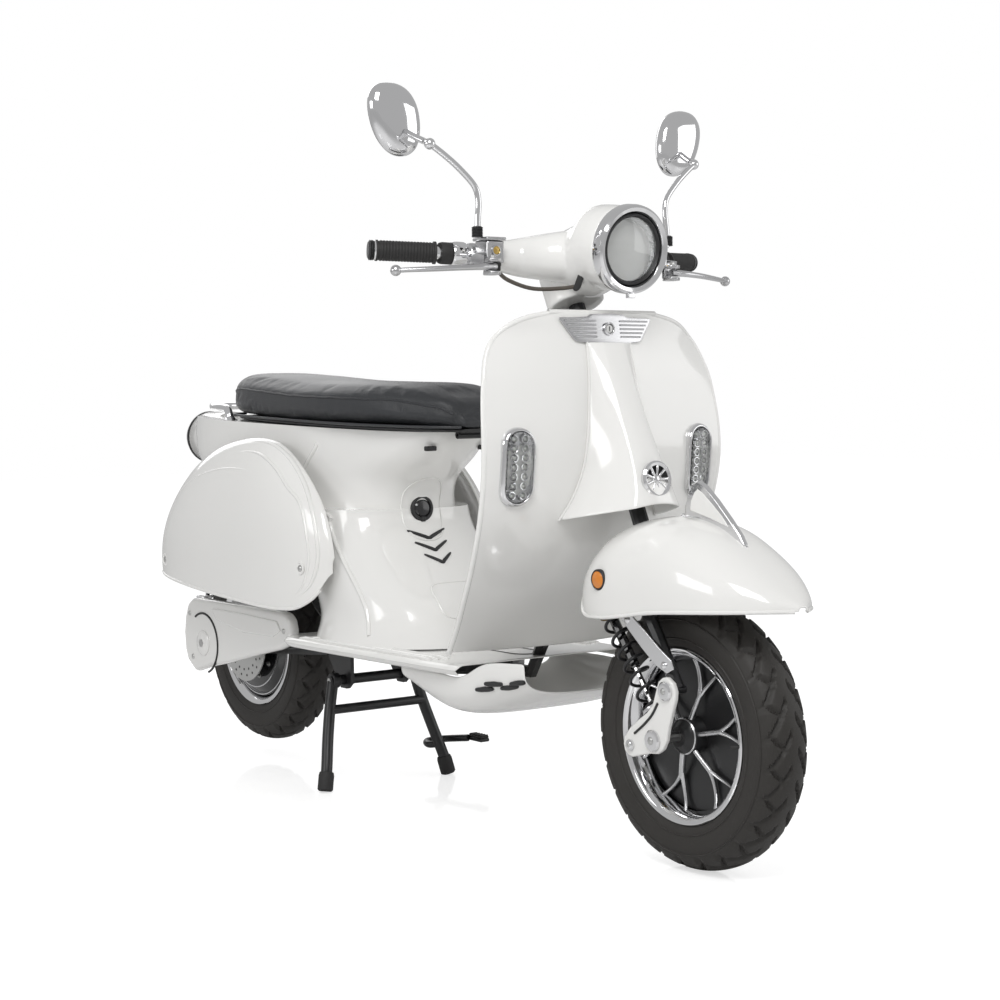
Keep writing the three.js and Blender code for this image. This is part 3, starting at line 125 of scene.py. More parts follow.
# ---- making pieces --------------------------------------------------------------
def finish_mesh(obj, mat, body, smooth=True, bevel=0.0, subsurf=0, solid=0.0, offset=-1.0, angle=35, segs=2):
    obj.data.materials.clear()
    obj.data.materials.append(mat)
    if solid:
        mod = obj.modifiers.new("wall", "SOLIDIFY")
        mod.thickness = solid / 1000
        mod.offset = offset
    if bevel:
        mod = obj.modifiers.new("edges", "BEVEL")
        mod.width = bevel / 1000
        mod.segments = segs
        mod.limit_method = "ANGLE"
        mod.angle_limit = rad(35)
    if subsurf:
        mod = obj.modifiers.new("smooth", "SUBSURF")
        mod.levels = subsurf
        mod.render_levels = subsurf
    if smooth:
        obj.data.shade_smooth()
        if angle < 180:
            obj.data.set_sharp_from_angle(angle=rad(angle))
    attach(obj, body)
    return obj


def mesh(name, verts, faces, mat, body, **look):
    data = bpy.data.meshes.new(name)
    data.from_pydata([m(p) for p in verts], [], faces)
    obj = bpy.data.objects.new(name, data)
    bpy.context.scene.collection.objects.link(obj)
    bm = bmesh.new()
    bm.from_mesh(data)
    bmesh.ops.remove_doubles(bm, verts=bm.verts, dist=1e-6)
    bmesh.ops.recalc_face_normals(bm, faces=bm.faces)
    bm.to_mesh(data)
    bm.free()
    return finish_mesh(obj, mat, body, **look)


def grid(name, surface, nu, nv, mat, body, wrap=False, **look):
    """A sheet through surface(u, v), u and v from 0 to 1; wrap joins u = 1 to u = 0."""
    rows = nu if wrap else nu + 1
    verts = [surface(i / nu, j / nv) for i in range(rows) for j in range(nv + 1)]
    faces = []
    for i in range(nu):
        k = (i + 1) % rows
        for j in range(nv):
            faces.append((i * (nv + 1) + j, k * (nv + 1) + j, k * (nv + 1) + j + 1, i * (nv + 1) + j + 1))
    return mesh(name, verts, faces, mat, body, **look)


def loft(name, rings, mat, body, **look):
    """A closed solid through rings of points, capped at both ends."""
    n = len(rings[0])
    verts = [p for ring in rings for p in ring]
    faces = [tuple(range(n)), tuple(range((len(rings) - 1) * n, len(rings) * n))]
    for r in range(len(rings) - 1):
        for i in range(n):
            k = (i + 1) % n
            faces.append((r * n + i, r * n + k, (r + 1) * n + k, (r + 1) * n + i))
    return mesh(name, verts, faces, mat, body, **look)


def basis(axis):
    d = Vector(axis).normalized()
    side = Vector((0, 0, 1)).cross(d)
    if side.length < 1e-4:
        side = Vector((0, 1, 0))
    side.normalize()
    return d, side, d.cross(side)


def turned(name, profile, at, axis, mat, body, n=48, closed=True, **look):
    """A turned piece: profile of (radius, along) about the axis through at."""
    d, side, up = basis(axis)
    rings = []
    for r, s in profile:
        centre = Vector(at) + d * s
        rings.append([centre + (side * cos(2 * pi * i / n) + up * sin(2 * pi * i / n)) * max(r, 0.01) for i in range(n)])
    if closed:
        return loft(name, rings, mat, body, **look)
    faces = [(r * n + i, r * n + (i + 1) % n, (r + 1) * n + (i + 1) % n, (r + 1) * n + i)
             for r in range(len(rings) - 1) for i in range(n)]
    return mesh(name, [p for ring in rings for p in ring], faces, mat, body, **look)


def ring(name, profile, at, axis, mat, body, n=48, **look):
    """A turned hoop: the profile closes on itself away from the axis."""
    return turned(name, [*profile, profile[0]], at, axis, mat, body, n=n, closed=False, **look)


def rod(name, a, b, r, mat, body, r2=None, n=24, bevel=0.6, **look):
    d = Vector(b) - Vector(a)
    return turned(name, [(r, 0), (r if r2 is None else r2, d.length)], a, d, mat, body, n=n, bevel=bevel, **look)


def curve_points(points, steps, cyclic=False):
    """Points along a smooth Catmull-Rom line."""
    pts = [Vector(p) for p in points]
    n = len(pts)
    out = []
    spans = n if cyclic else n - 1
    for k in range(spans):
        if cyclic:
            p0, p1, p2, p3 = (pts[(k + j) % n] for j in (-1, 0, 1, 2))
        else:
            p0, p1, p2, p3 = (pts[min(max(k + j, 0), n - 1)] for j in (-1, 0, 1, 2))
        for i in range(steps):
            t = i / steps
            out.append(0.5 * ((2 * p1) + (p2 - p0) * t + (2 * p0 - 5 * p1 + 4 * p2 - p3) * t * t
                              + (3 * p1 - p0 - 3 * p2 + p3) * t ** 3))
    if not cyclic:
        out.append(pts[-1])
    return out


def tube(name, points, r, mat, body, steps=8, n=12, cyclic=False, straight=False, flat=1.0, radii=None, **look):
    """A round tube along a smooth line through the points; flat squashes it in z."""
    path = [Vector(p) for p in points] if straight else curve_points(points, steps, cyclic)
    count = len(path)
    normal = None
    rings = []
    for i, p in enumerate(path):
        after = path[(i + 1) % count] if cyclic else path[min(i + 1, count - 1)]
        before = path[i - 1] if (cyclic or i) else path[0]
        d = (after - before).normalized()
        if normal is None:
            normal = basis(d)[1]
        normal = (normal - d * normal.dot(d)).normalized()
        up = d.cross(normal)
        size = r * (radii(i / max(1, count - 1)) if radii else 1)
        rings.append([p + (normal * cos(2 * pi * k / n) + up * sin(2 * pi * k / n) * flat) * size for k in range(n)])
    if not cyclic:
        return loft(name, rings, mat, body, **look)
    faces = [(i * n + k, i * n + (k + 1) % n, ((i + 1) % count) * n + (k + 1) % n, ((i + 1) % count) * n + k)
             for i in range(count) for k in range(n)]
    return mesh(name, [p for ring_ in rings for p in ring_], faces, mat, body, **look)


def slab(name, outline, lift, thick, mat, body, to=lambda a, b, h: (a, h, b), **look):
    """A plate: an outline of (a, b) points, raised from lift by thick; to() places a point."""
    n = len(outline)
    verts = [to(a, b, lift) for a, b in outline] + [to(a, b, lift + thick) for a, b in outline]
    faces = [tuple(range(n - 1, -1, -1)), tuple(range(n, 2 * n))]
    faces += [(i, (i + 1) % n, n + (i + 1) % n, n + i) for i in range(n)]
    return mesh(name, verts, faces, mat, body, **look)


def block(name, lo, hi, mat, body, bevel=1.5, **look):
    outline = [(lo[0], lo[1]), (hi[0], lo[1]), (hi[0], hi[1]), (lo[0], hi[1])]
    return slab(name, outline, lo[2], hi[2] - lo[2], mat, body, to=lambda a, b, h: (a, b, h), bevel=bevel, **look)


def dome(name, at, axis, r, mat, body, tall=0.6, n=20):
    """A domed screw or button head that stands on a face."""
    profile = [(r, 0), (r, r * tall * 0.3), (r * 0.8, r * tall * 0.75), (r * 0.4, r * tall), (0, r * tall)]
    return turned(name, profile, at, axis, mat, body, n=n)


def bolt(name, at, axis, r, mat, body, tall=0.8):
    """A hexagon bolt head on a washer."""
    turned(name + "_washer", [(r * 1.5, 0), (r * 1.5, r * 0.3)], at, axis, mat, body, n=24, bevel=0.3)
    start = Vector(at) + Vector(axis).normalized() * r * 0.3
    return turned(name, [(r, 0), (r, r * tall), (r * 0.8, r * tall * 1.15)], start, axis, mat, body, n=6, smooth=False)


def along(table, x):
    """The value at x of a smooth line through (x, value) pairs in rising x."""
    if x <= table[0][0]:
        return table[0][1]
    for i in range(1, len(table)):
        if x <= table[i][0]:
            span = table[i][0] - table[i - 1][0]
            t = (x - table[i - 1][0]) / span
            before = table[max(0, i - 2)]
            after = table[min(len(table) - 1, i + 1)]
            m0 = span * (table[i][1] - before[1]) / (table[i][0] - before[0])
            m1 = span * (after[1] - table[i - 1][1]) / (after[0] - table[i - 1][0])
            return ((2 * t ** 3 - 3 * t * t + 1) * table[i - 1][1] + (t ** 3 - 2 * t * t + t) * m0
                    + (3 * t * t - 2 * t ** 3) * table[i][1] + (t ** 3 - t * t) * m1)
    return table[-1][1]


def both(make):
    for side, hand in ((-1, "right"), (1, "left")):
        make(side, hand)


def flip(p, side):
    return (p[0], side * p[1], p[2])


def power(c, e):
    return math.copysign(abs(c) ** e, c)


# ---- camera, light and stage -------------------------------------------------------
def camera():
    yaw, pitch, roll = 2.506, -0.054, -0.01
    d = Vector((cos(yaw) * cos(pitch), sin(yaw) * cos(pitch), sin(pitch)))
    r = d.cross(Vector((0, 0, 1))).normalized()
    u = r.cross(d)
    right = r * cos(roll) + u * sin(roll)
    up = u * cos(roll) - r * sin(roll)
    data = bpy.data.cameras.new("camera")
    data.sensor_width = 36
    data.lens = 72.25
    data.clip_end = 100
    obj = bpy.data.objects.new("camera", data)
    turn = Matrix((right, up, -d)).transposed().to_4x4()
    obj.matrix_world = Matrix.Translation(m((2359, -2129, 762))) @ turn
    bpy.context.scene.collection.objects.link(obj)
    bpy.context.scene.camera = obj


def lamp(name, at, to, size, watts, tall=None):
    data = bpy.data.lights.new(name, "AREA")
    data.shape = "RECTANGLE"
    data.size = size
    data.size_y = tall or size
    data.energy = watts
    obj = bpy.data.objects.new(name, data)
    place = m(at)
    look = (m(to) - place).normalized().to_track_quat("-Z", "Y")
    obj.matrix_world = Matrix.Translation(place) @ look.to_matrix().to_4x4()
    bpy.context.scene.collection.objects.link(obj)


def stage():
    mat = bpy.data.materials.new("studio_floor")
    mat.use_nodes = True
    nt = mat.node_tree
    out = nt.nodes["Material Output"]
    shader = nt.nodes["Principled BSDF"]
    shader.inputs["Base Color"].default_value = (0.86, 0.86, 0.86, 1)
    shader.inputs["Roughness"].default_value = 0.07
    glow = nt.nodes.new("ShaderNodeEmission")
    glow.inputs["Strength"].default_value = 0.6
    total = nt.nodes.new("ShaderNodeAddShader")
    nt.links.new(shader.outputs[0], total.inputs[0])
    nt.links.new(glow.outputs[0], total.inputs[1])
    path = nt.nodes.new("ShaderNodeLightPath")
    pick = nt.nodes.new("ShaderNodeMixShader")
    nt.links.new(path.outputs["Is Camera Ray"], pick.inputs[0])
    nt.links.new(shader.outputs[0], pick.inputs[1])
    nt.links.new(total.outputs[0], pick.inputs[2])
    nt.links.new(pick.outputs[0], out.inputs["Surface"])
    data = bpy.data.meshes.new("floor")
    size = 14
    data.from_pydata([(-size, -size, 0), (size, -size, 0), (size, size, 0), (-size, size, 0)], [], [(0, 1, 2, 3)])
    data.materials.append(mat)
    obj = bpy.data.objects.new("floor", data)
    bpy.context.scene.collection.objects.link(obj)
    world = bpy.data.worlds.new("studio")
    world.use_nodes = True
    bpy.context.scene.world = world
    nt = world.node_tree
    soft = nt.nodes["Background"]
    soft.inputs["Strength"].default_value = 0.5
    soft.inputs["Color"].default_value = (1, 1, 1, 1)
    white = nt.nodes.new("ShaderNodeBackground")
    white.inputs["Strength"].default_value = 1.0
    white.inputs["Color"].default_value = (1, 1, 1, 1)
    path = nt.nodes.new("ShaderNodeLightPath")
    pick = nt.nodes.new("ShaderNodeMixShader")
    nt.links.new(path.outputs["Is Camera Ray"], pick.inputs[0])
    nt.links.new(soft.outputs[0], pick.inputs[1])
    nt.links.new(white.outputs[0], pick.inputs[2])
    nt.links.new(pick.outputs[0], nt.nodes["World Output"].inputs["Surface"])
    lamp("key", (1300, -1500, 2500), (-500, 0, 500), 1.1, 38)
    lamp("side", (-900, -3200, 1500), (-700, 0, 450), 1.6, 15, 0.8)
    lamp("fill", (1600, 2600, 1400), (-400, 0, 500), 1.8, 15)
    lamp("rear", (-3200, 600, 1900), (-900, 0, 500), 1.8, 16)
    bpy.context.scene.view_settings.view_transform = "Standard"


# ---- leg shield and front panel ---------------------------------------------------
SKIN = 3.0
SHIELD_TOP, SHIELD_FOOT = 892, 322


def shield_half(z):
    return along([(300, 198), (365, 214), (430, 230), (560, 248), (680, 253), (775, 244), (830, 226), (862, 196),
                  (880, 158), (SHIELD_TOP, 96)], z)


def shield_x(y, z):
    centre = along([(300, -380), (365, -338), (430, -290), (500, -246), (570, -216), (660, -203), (775, -210),
                    (850, -222), (SHIELD_TOP, -228)], z)
    edge = along([(300, -420), (365, -362), (430, -312), (500, -270), (570, -240), (660, -224), (775, -236),
                  (850, -250), (SHIELD_TOP, -232)], z)
    return centre + (edge - centre) * min(1, abs(y) / shield_half(z)) ** 2.2


def leg_shield():
    span = SHIELD_TOP - SHIELD_FOOT

    def face(u, w):
        z = SHIELD_FOOT + span * (1 - (1 - w) ** 1.25)
        y = shield_half(z) * sin((u - 0.5) * pi * 0.86) / sin(0.43 * pi)
        return (shield_x(y, z), y, z)
    obj = grid("leg_shield_skin", face, 48, 60, PAINT, "chassis", solid=SKIN, offset=-1, subsurf=1)
    keep_front(obj)
    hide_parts("leg_shield")
    rim = []
    rows = 40
    for i in range(rows + 1):
        z = SHIELD_FOOT + (SHIELD_TOP - 1 - SHIELD_FOOT) * (1 - (1 - i / rows) ** 1.8)
        rim.append((shield_x(shield_half(z), z) - 3, -shield_half(z) + 1.5, z))
    rim += [(x, -y, z) for x, y, z in reversed(rim)]
    tube("leg_shield_rim", rim, 4.6, PAINT, "chassis", steps=2, n=12)

    def back(u, w):
        x, y, z = face(0.03 + 0.94 * u, w * 0.975)
        return (x - SKIN - 3 - 13 * min(1, (1 - abs(2 * u - 1)) * 8) - 84 * math.exp(-((y / 74) ** 4)), y, z)
    inner = grid("inner_shield_skin", back, 40, 30, PAINT, "chassis", solid=SKIN, offset=1, subsurf=1)
    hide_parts("inner_shield")


def keep_front(obj):
    """Turns a sheet's normals to +x, so that its wall goes behind the face."""
    bm = bmesh.new()
    bm.from_mesh(obj.data)
    total = sum((f.normal.x * f.calc_area() for f in bm.faces))
    if total < 0:
        bmesh.ops.reverse_faces(bm, faces=bm.faces)
    bm.to_mesh(obj.data)
    bm.free()


PANEL_TOP, PANEL_FOOT, PANEL_DROP = 842, 578, 28


def panel_half(z):
    return along([(PANEL_FOOT, 104), (610, 84), (660, 66), (760, 52), (PANEL_TOP, 46)], z)


def panel_crown(z):
    return along([(PANEL_FOOT, -88), (610, -98), (650, -116), (720, -152), (790, -184), (PANEL_TOP, -206)], z)


def front_panel():
    def face(u, w):
        level = PANEL_FOOT + (PANEL_TOP - PANEL_FOOT) * w
        t = 2 * u - 1
        y = t * panel_half(level)
        z = level - PANEL_DROP * t * t * (1 - w) ** 2
        side = shield_x(y, z) + 2.6
        ridge = (1 - abs(t) ** 2.6) * 0.55 + 0.45 * max(0, 1 - max(0, (abs(t) - 0.46) / 0.54) ** 1.1)
        return (side + (panel_crown(level) - side) * ridge, y, z)
    obj = grid("front_panel_skin", face, 44, 40, PAINT, "chassis", solid=2.5, offset=-1, subsurf=1)
    keep_front(obj)
    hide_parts("front_panel")
    edge = [face(0.0, j / 24) for j in range(25)]
    for side in (-1, 1):
        tube("panel_seam_%s" % ("r" if side < 0 else "l"), [(x, -side * y if side > 0 else y, z) for x, y, z in edge],
             2.2, PAINT, "chassis", steps=2, n=8)
    horn(panel_crown(622) + 3)
    badge_plate()


def horn(x):
    tilt = Vector((1, 0, 0.12)).normalized()
    at = Vector((x, 0, 618))
    ring("horn_bezel", [(30, -3), (30, 2), (27, 5), (22.5, 3), (22.5, -3)], at, tilt, CHROME, "chassis")
    turned("horn_back", [(23, -4), (23, -3)], at, tilt, PLASTIC, "chassis")
    d, side, up = basis(tilt)
    for k in range(9):
        a = 2 * pi * k / 9
        p = at + (side * cos(a) + up * sin(a)) * 7
        q = at + (side * cos(a) + up * sin(a)) * 24
        rod("horn_vane_%d" % k, p, q, 2.2, CHROME, "chassis", r2=3.0, n=10)
    dome("horn_boss", at - tilt * 2, tilt, 8, CHROME, "chassis")


def badge_plate():
    """A ribbed trim plate across the top of the shield, with the lock."""
    def to(a, b, h):
        return (shield_x(a, b) + 3 + h, a, b)
    def plate(u, w):
        a = -97 + 194 * u
        top = along([(-97, 882), (-42, 884), (-34, 888), (34, 888), (42, 884), (97, 882)], a)
        foot = along([(-97, 879), (-84, 862), (-66, 843), (66, 843), (84, 862), (97, 879)], a)
        return to(a, foot + (top - foot) * w, 0)
    grid("trim_plate", plate, 52, 6, SATIN, "chassis", solid=3, offset=0, bevel=0.5)
    for side in (-1, 1):
        for k in range(5):
            z = 851 + 6.5 * k
            inner, outer = 26, 70 + 4.6 * k
            pts = [to(side * (inner + (outer - inner) * t / 6), z, 2.2) for t in range(7)]
            tube("trim_rib_%d_%s" % (k, "r" if side < 0 else "l"), pts, 1.5, SATIN, "chassis", steps=2, n=8)
    at = Vector(to(0, 864, 2))
    ring("lock_ring", [(11, 0), (11, 3), (8, 4.5), (7, 0)], at, (1, 0, 0), CHROME, "chassis", n=32)
    turned("lock_barrel", [(7, 0), (7, 3)], at, (1, 0, 0), STEEL, "chassis", n=24, bevel=0.5)
    block("lock_slot", (at.x + 2.6, -0.8, at.z - 4), (at.x + 3.4, 0.8, at.z + 4), PLASTIC, "chassis", bevel=0.2)


def oblong(cy, cz, half, tall, n=12):
    pts = []
    for i in range(2 * n + 2):
        a = pi * (i % (n + 1)) / n + (0 if i <= n else pi)
        pts.append((cy + half * cos(a), cz + half * sin(a) + (tall if i <= n else -tall)))
    return pts


def indicators():
    def make(side, hand):
        cy, cz = side * 194, 640
        tag = hand

        def face(points, out):
            return [(shield_x(y, z) + out, y, z) for y, z in points]
        shapes = [(31, -1), (31.5, 4), (29, 9), (26, 10.5), (24, 8), (24, 2)]
        rings = [face(oblong(cy, cz, half, 34), out) for half, out in shapes]
        n = len(rings[0])
        faces = [(r * n + i, r * n + (i + 1) % n, (r + 1) * n + (i + 1) % n, (r + 1) * n + i)
                 for r in range(len(rings) - 1) for i in range(n)]
        mesh("indicator_bezel_" + tag, [p for r in rings for p in r], faces, CHROME, "chassis", subsurf=1, angle=180)
        loft("indicator_tray_" + tag, [face(oblong(cy, cz, 24.5, 34), 0.5), face(oblong(cy, cz, 24.5, 34), 2)],
                    SMOKE, "chassis")
        lens = loft("indicator_lens_" + tag, [face(oblong(cy, cz, 23.6, 34), 8), face(oblong(cy, cz, 23, 34), 10),
                    face(oblong(cy, cz, 20, 34), 11.4)], GLASS, "chassis")
        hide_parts("indicator_" + hand)
        for row in (-1, 1):
            for k in range(7):
                y, z = cy + row * 9.5, cz - 45 + 15 * k
                at = (shield_x(y, z) + 2, y, z)
                ring("led_cup_%s_%d_%d" % (tag, row + 1, k), [(6.6, 0), (6.6, 4.5), (5.6, 4.5), (4, 0.4)], at, (1, 0, 0),
                     CHROME, "chassis", n=16)
                dome("led_%s_%d_%d" % (tag, row + 1, k), at, (1, 0, 0), 3.2, LED, "chassis", tall=1.2, n=12)
    both(make)


leg_shield()
front_panel()
indicators()


# ---- floor and belly ------------------------------------------------------------------
FLOOR_TOP, FLOOR_THICK = 303, 20


def floor_half(x):
    return along([(-968, 184), (-948, 206), (-900, 212), (-700, 208), (-480, 202), (-392, 196)], x)


def footboard():
    def deck(u, w):
        x = -968 + 576 * u
        t = 2 * w - 1
        y = t * floor_half(x)
        drop = max(0, (abs(t) - 0.955) / 0.045) ** 2 * 9
        return (x, y, FLOOR_TOP - 3 - drop)
    verts = [deck(i / 60, j / 40) for i in range(61) for j in range(41)]
    faces = []
    for i in range(60):
        for j in range(40):
            x, y, _ = verts[i * 41 + j]
            if not (x < -928 and abs(y) < 112):
                faces.append((i * 41 + j, (i + 1) * 41 + j, (i + 1) * 41 + j + 1, i * 41 + j + 1))
    top = mesh("floor_deck", verts, faces, PAINT, "chassis", solid=SKIN, offset=0, subsurf=1)
    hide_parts("footboard")
    for side in (-1, 1):
        tag = "r" if side < 0 else "l"
        grid("floor_skirt_" + tag, lambda u, w: (-966 + 570 * u, side * (floor_half(-966 + 570 * u) - 1 - 10 * w),
             FLOOR_TOP - 11 - 10 * w - 2 * sin(pi * w)), 40, 6, PAINT, "chassis", solid=SKIN, subsurf=1)
        for k, y in enumerate((196, 184, 168)):
            x0, x1 = -900 + 14 * k, -480 + 6 * k
            pts = [(x0 + (x1 - x0) * t / 20, side * (y + (floor_half(x0 + (x1 - x0) * t / 20) - 212)), FLOOR_TOP - 0.4
                    - (0 if 0 < t < 20 else 3)) for t in range(21)]
            tube("floor_rib_%d_%s" % (k, tag), pts, 3.4, PAINT, "chassis", steps=2, n=10)
    hatch = oblong(0, 0, 30, 62)
    pts = [(-520 + b, a, FLOOR_TOP - 1.4) for a, b in hatch]
    tube("floor_hatch_seam", pts, 1.0, PLASTIC, "chassis", cyclic=True, steps=2, n=6)
    turned("floor_hatch_screw", [(5, 0), (5, 0.8), (3, 1.6)], (-520, 0, FLOOR_TOP - 2.4), (0, 0, 1), STEEL, "chassis", n=20)


BELLY_REAR, BELLY_FRONT = -600, -236


def belly():
    low = lambda x: along([(-600, 246), (-473, 204), (-383, 214), (-300, 238), (-236, 262)], x)
    half = lambda x: along([(-600, 168), (-473, 178), (-383, 182), (-300, 176), (-236, 168)], x)
    top = lambda x: along([(-600, 281.5), (-470, 281.5), (-396, 282), (-330, 310), (-236, 318)], x)

    def face(u, w):
        x = BELLY_REAR + (BELLY_FRONT - BELLY_REAR) * w
        a = pi * u
        return (x, half(x) * power(cos(a), 0.6), top(x) - (top(x) - low(x)) * sin(a) ** 0.5)
    obj = grid("belly_skin", face, 48, 30, PAINT, "chassis", solid=SKIN, offset=0, subsurf=1)
    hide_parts("belly_fairing")
    for side in (-1, 1):
        for row in range(2):
            for k in range(2):
                x0 = -330 + 62 * k - 24 * row
                pts = []
                for t in range(7):
                    guess = m((x0 + 44 * t / 6, side * 190, 274 - 13 * row))
                    _, at, _, _ = obj.closest_point_on_mesh(guess)
                    pts.append(((at.x - SHIFT) * 1000, at.y * 1000 + side * 1.2, at.z * 1000))
                tube("belly_slot_%d_%d_%s" % (row, k, "r" if side < 0 else "l"), pts, 4.6, PLASTIC, "chassis", steps=3,
                     n=12, radii=lambda t: 0.35 + 0.65 * max(0, sin(pi * t)) ** 0.4)


footboard()
belly()


# ---- front fender ---------------------------------------------------------------------
def fender_point(a, x):
    half = along([(-205, 66), (-180, 90), (-120, 108), (-40, 112), (60, 108), (140, 88), (200, 48), (231, 8)], x)
    crown = along([(-205, 452), (-190, 492), (-150, 530), (-90, 553), (-20, 560), (50, 548), (106, 521), (160, 488),
                   (205, 455), (231, 436)], x)
    foot = along([(-205, 430), (-175, 402), (-120, 400), (-62, 407), (10, 418), (102, 425), (201, 430), (231, 430)], x)
    return (x, half * power(cos(a), 0.8), foot + (crown - foot) * max(0, sin(a)) ** 0.7)


def front_fender():
    def face(u, w):
        return fender_point(pi * u, -205 + 436 * (1 - (1 - w) ** 1.3))
    obj = grid("fender_skin", face, 44, 56, PAINT, "steering", solid=SKIN, offset=0, subsurf=1)
    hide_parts("front_fender")
    for side in (-1, 1):
        tag = "r" if side < 0 else "l"
        lip = [flip(fender_point(pi, -203 + 430 * t / 40), -side) for t in range(41)]
        tube("fender_lip_" + tag, lip, 3.4, PAINT, "steering", steps=2, n=10)
        x, y, z = fender_point(2.88, -118)
        turned("reflector_rim_" + tag, [(17, 0), (17, 5), (15, 7), (13.5, 5)], (x, -side * (y + 1), z + 4), (0, side, 0),
               PLASTIC, "steering", n=40)
        turned("reflector_" + tag, [(13.5, 2), (13.5, 6), (10, 7.4), (0, 8)], (x, -side * (y + 1), z + 4), (0, side, 0),
               AMBER, "steering", n=40)
    crest = [(110, 521), (60, 541), (20, 552), (-27, 559), (-26, 580), (-17, 602), (-6, 614), (4, 619), (20, 611),
             (46, 590), (76, 562), (100, 537)]
    slab("crest_fin", crest, -5, 10, CHROME, "steering", bevel=2.2, segs=3)
    base = [(x, 0, fender_point(pi / 2, x)[2] + 1) for x in (112, 80, 40, 0, -34)]
    tube("crest_rail", base, 5.2, CHROME, "steering", steps=6, n=14, flat=0.8,
         radii=lambda t: 0.45 + 0.75 * t)
    core = [(76, 548), (34, 560), (-14, 571), (-12, 586), (-4, 600), (4, 606), (16, 600), (40, 582), (62, 564)]
    slab("crest_core", core, -5.8, 11.6, PAINT, "steering", bevel=1.5)


# ---- headset and headlight --------------------------------------------------------------
LAMP = Vector((-155, 0, 991))
LAMP_TILT = 7
LAMP_AXIS = Vector((cos(rad(LAMP_TILT)), 0, -sin(rad(LAMP_TILT))))


def lamp_line(s, up=0.0):
    return LAMP + LAMP_AXIS * s + Vector((sin(rad(LAMP_TILT)), 0, cos(rad(LAMP_TILT)))) * up


def fused(name, parts, mat, body, voxel=2.6, rounds=14):
    """One smooth shell grown over several rough solids."""
    bm = bmesh.new()
    for part in parts:
        bm.from_mesh(part.data)
        bpy.data.objects.remove(part)
    data = bpy.data.meshes.new(name)
    bm.to_mesh(data)
    bm.free()
    obj = bpy.data.objects.new(name, data)
    bpy.context.scene.collection.objects.link(obj)
    skin = obj.modifiers.new("shell", "REMESH")
    skin.mode = "VOXEL"
    skin.voxel_size = voxel / 1000
    soft = obj.modifiers.new("soften", "SMOOTH")
    soft.factor = 0.5
    soft.iterations = rounds
    obj = finish_mesh(obj, mat, body, angle=180)
    skin.use_smooth_shade = True
    return obj


def headset():
    pod = [(lamp_line(-16), 70), (lamp_line(-44), 71), (lamp_line(-72), 70), (Vector((-262, 0, 982)), 64),
           (Vector((-300, 0, 983)), 55), (Vector((-338, 0, 985)), 43), (Vector((-372, 0, 982)), 31),
           (Vector((-392, 0, 980)), 20)]
    rings = []
    for k, (centre, r) in enumerate(pod):
        rings.append([centre + Vector((0, r * cos(2 * pi * i / 40), r * sin(2 * pi * i / 40))) for i in range(40)])
    parts = [loft("pod", rings, PAINT, "steering", smooth=False)]
    for side in (-1, 1):
        arm = [(-270, side * 20, 984), (-300, side * 60, 985), (-330, side * 96, 985), (-337, side * 128, 986),
               (-339, side * 150, 986)]
        parts.append(tube("arm", arm, 50, PAINT, "steering", steps=4, n=28, smooth=False,
                          radii=lambda t: 1.0 - 0.54 * min(1, t * 1.1) ** 0.8))
    neck = [(-303 + 0.4147 * s, 0, 905 - 0.91 * s) for s in (-66, -30, 0)]
    parts.append(tube("neck", neck, 49, PAINT, "steering", steps=4, n=32, smooth=False))
    shell = fused("headset_shell", parts, PAINT, "steering")
    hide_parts("headset_cover")
    for side in (-1, 1):
        tag = "r" if side < 0 else "l"
        turned("headset_cap_" + tag, [(8, -2), (8, 3), (6.5, 4.4), (0, 4.8)], (-262, side * 61, 1001),
               (0.1, side, 0.25), SATIN, "steering", n=32)
        slab("headset_slot_" + tag, oblong(0, 0, 6, 12), -2, 4, PLASTIC, "steering", bevel=1,
             to=lambda a, b, h: (-232 - a * 0.7 + b * 0.35, side * (50 + h - 0.2 * b + a * 0.5), 944 + b))
    ring("headlight_bezel", [(73, -15), (73.2, -3), (72, 3), (68, 6.4), (62, 4), (58, -3), (58, -15)], LAMP, LAMP_AXIS,
         CHROME, "steering", n=96)
    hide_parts("headlight_ring")
    ring("headlight_gasket", [(58, -12), (58, -1), (55, 1.5), (52, -2), (52, -12)], LAMP, LAMP_AXIS, PLASTIC,
         "steering", n=96)
    lens = turned("headlight_glass", [(0, 3.4), (22, 2.8), (38, 0.8), (51.8, -3.6), (51.8, -6.2), (38, -1.8), (22, 0.2),
                  (0, 0.8)], LAMP, LAMP_AXIS, GLASS, "steering", n=96)
    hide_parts("headlight_lens")
    verts, faces = [], []
    rows = [(52, -8), (48, -20), (41, -32), (31, -42), (20, -48), (11, -50)]
    d, side_axis, up = basis(LAMP_AXIS)
    count = 28
    for j, (r, s) in enumerate(rows):
        for i in range(count):
            a = 2 * pi * (i + 0.5 * (j % 2)) / count
            verts.append(LAMP + d * s + (side_axis * cos(a) + up * sin(a)) * r)
    for j in range(len(rows) - 1):
        for i in range(count):
            k = (i + 1) % count
            faces.append((j * count + i, j * count + k, (j + 1) * count + k, (j + 1) * count + i))
    mesh("headlight_reflector", verts, faces, CHROME, "steering", smooth=False)
    turned("headlight_bulb_cap", [(9, -50), (9, -26), (7, -22), (0, -21)], LAMP, LAMP_AXIS, LED, "steering", n=32)
    block("headlight_clip", tuple(lamp_line(2, -76)[i] - (4, 7, 3)[i] for i in range(3)),
          tuple(lamp_line(2, -76)[i] + (4, 7, 5)[i] for i in range(3)), CHROME, "steering", bevel=1)


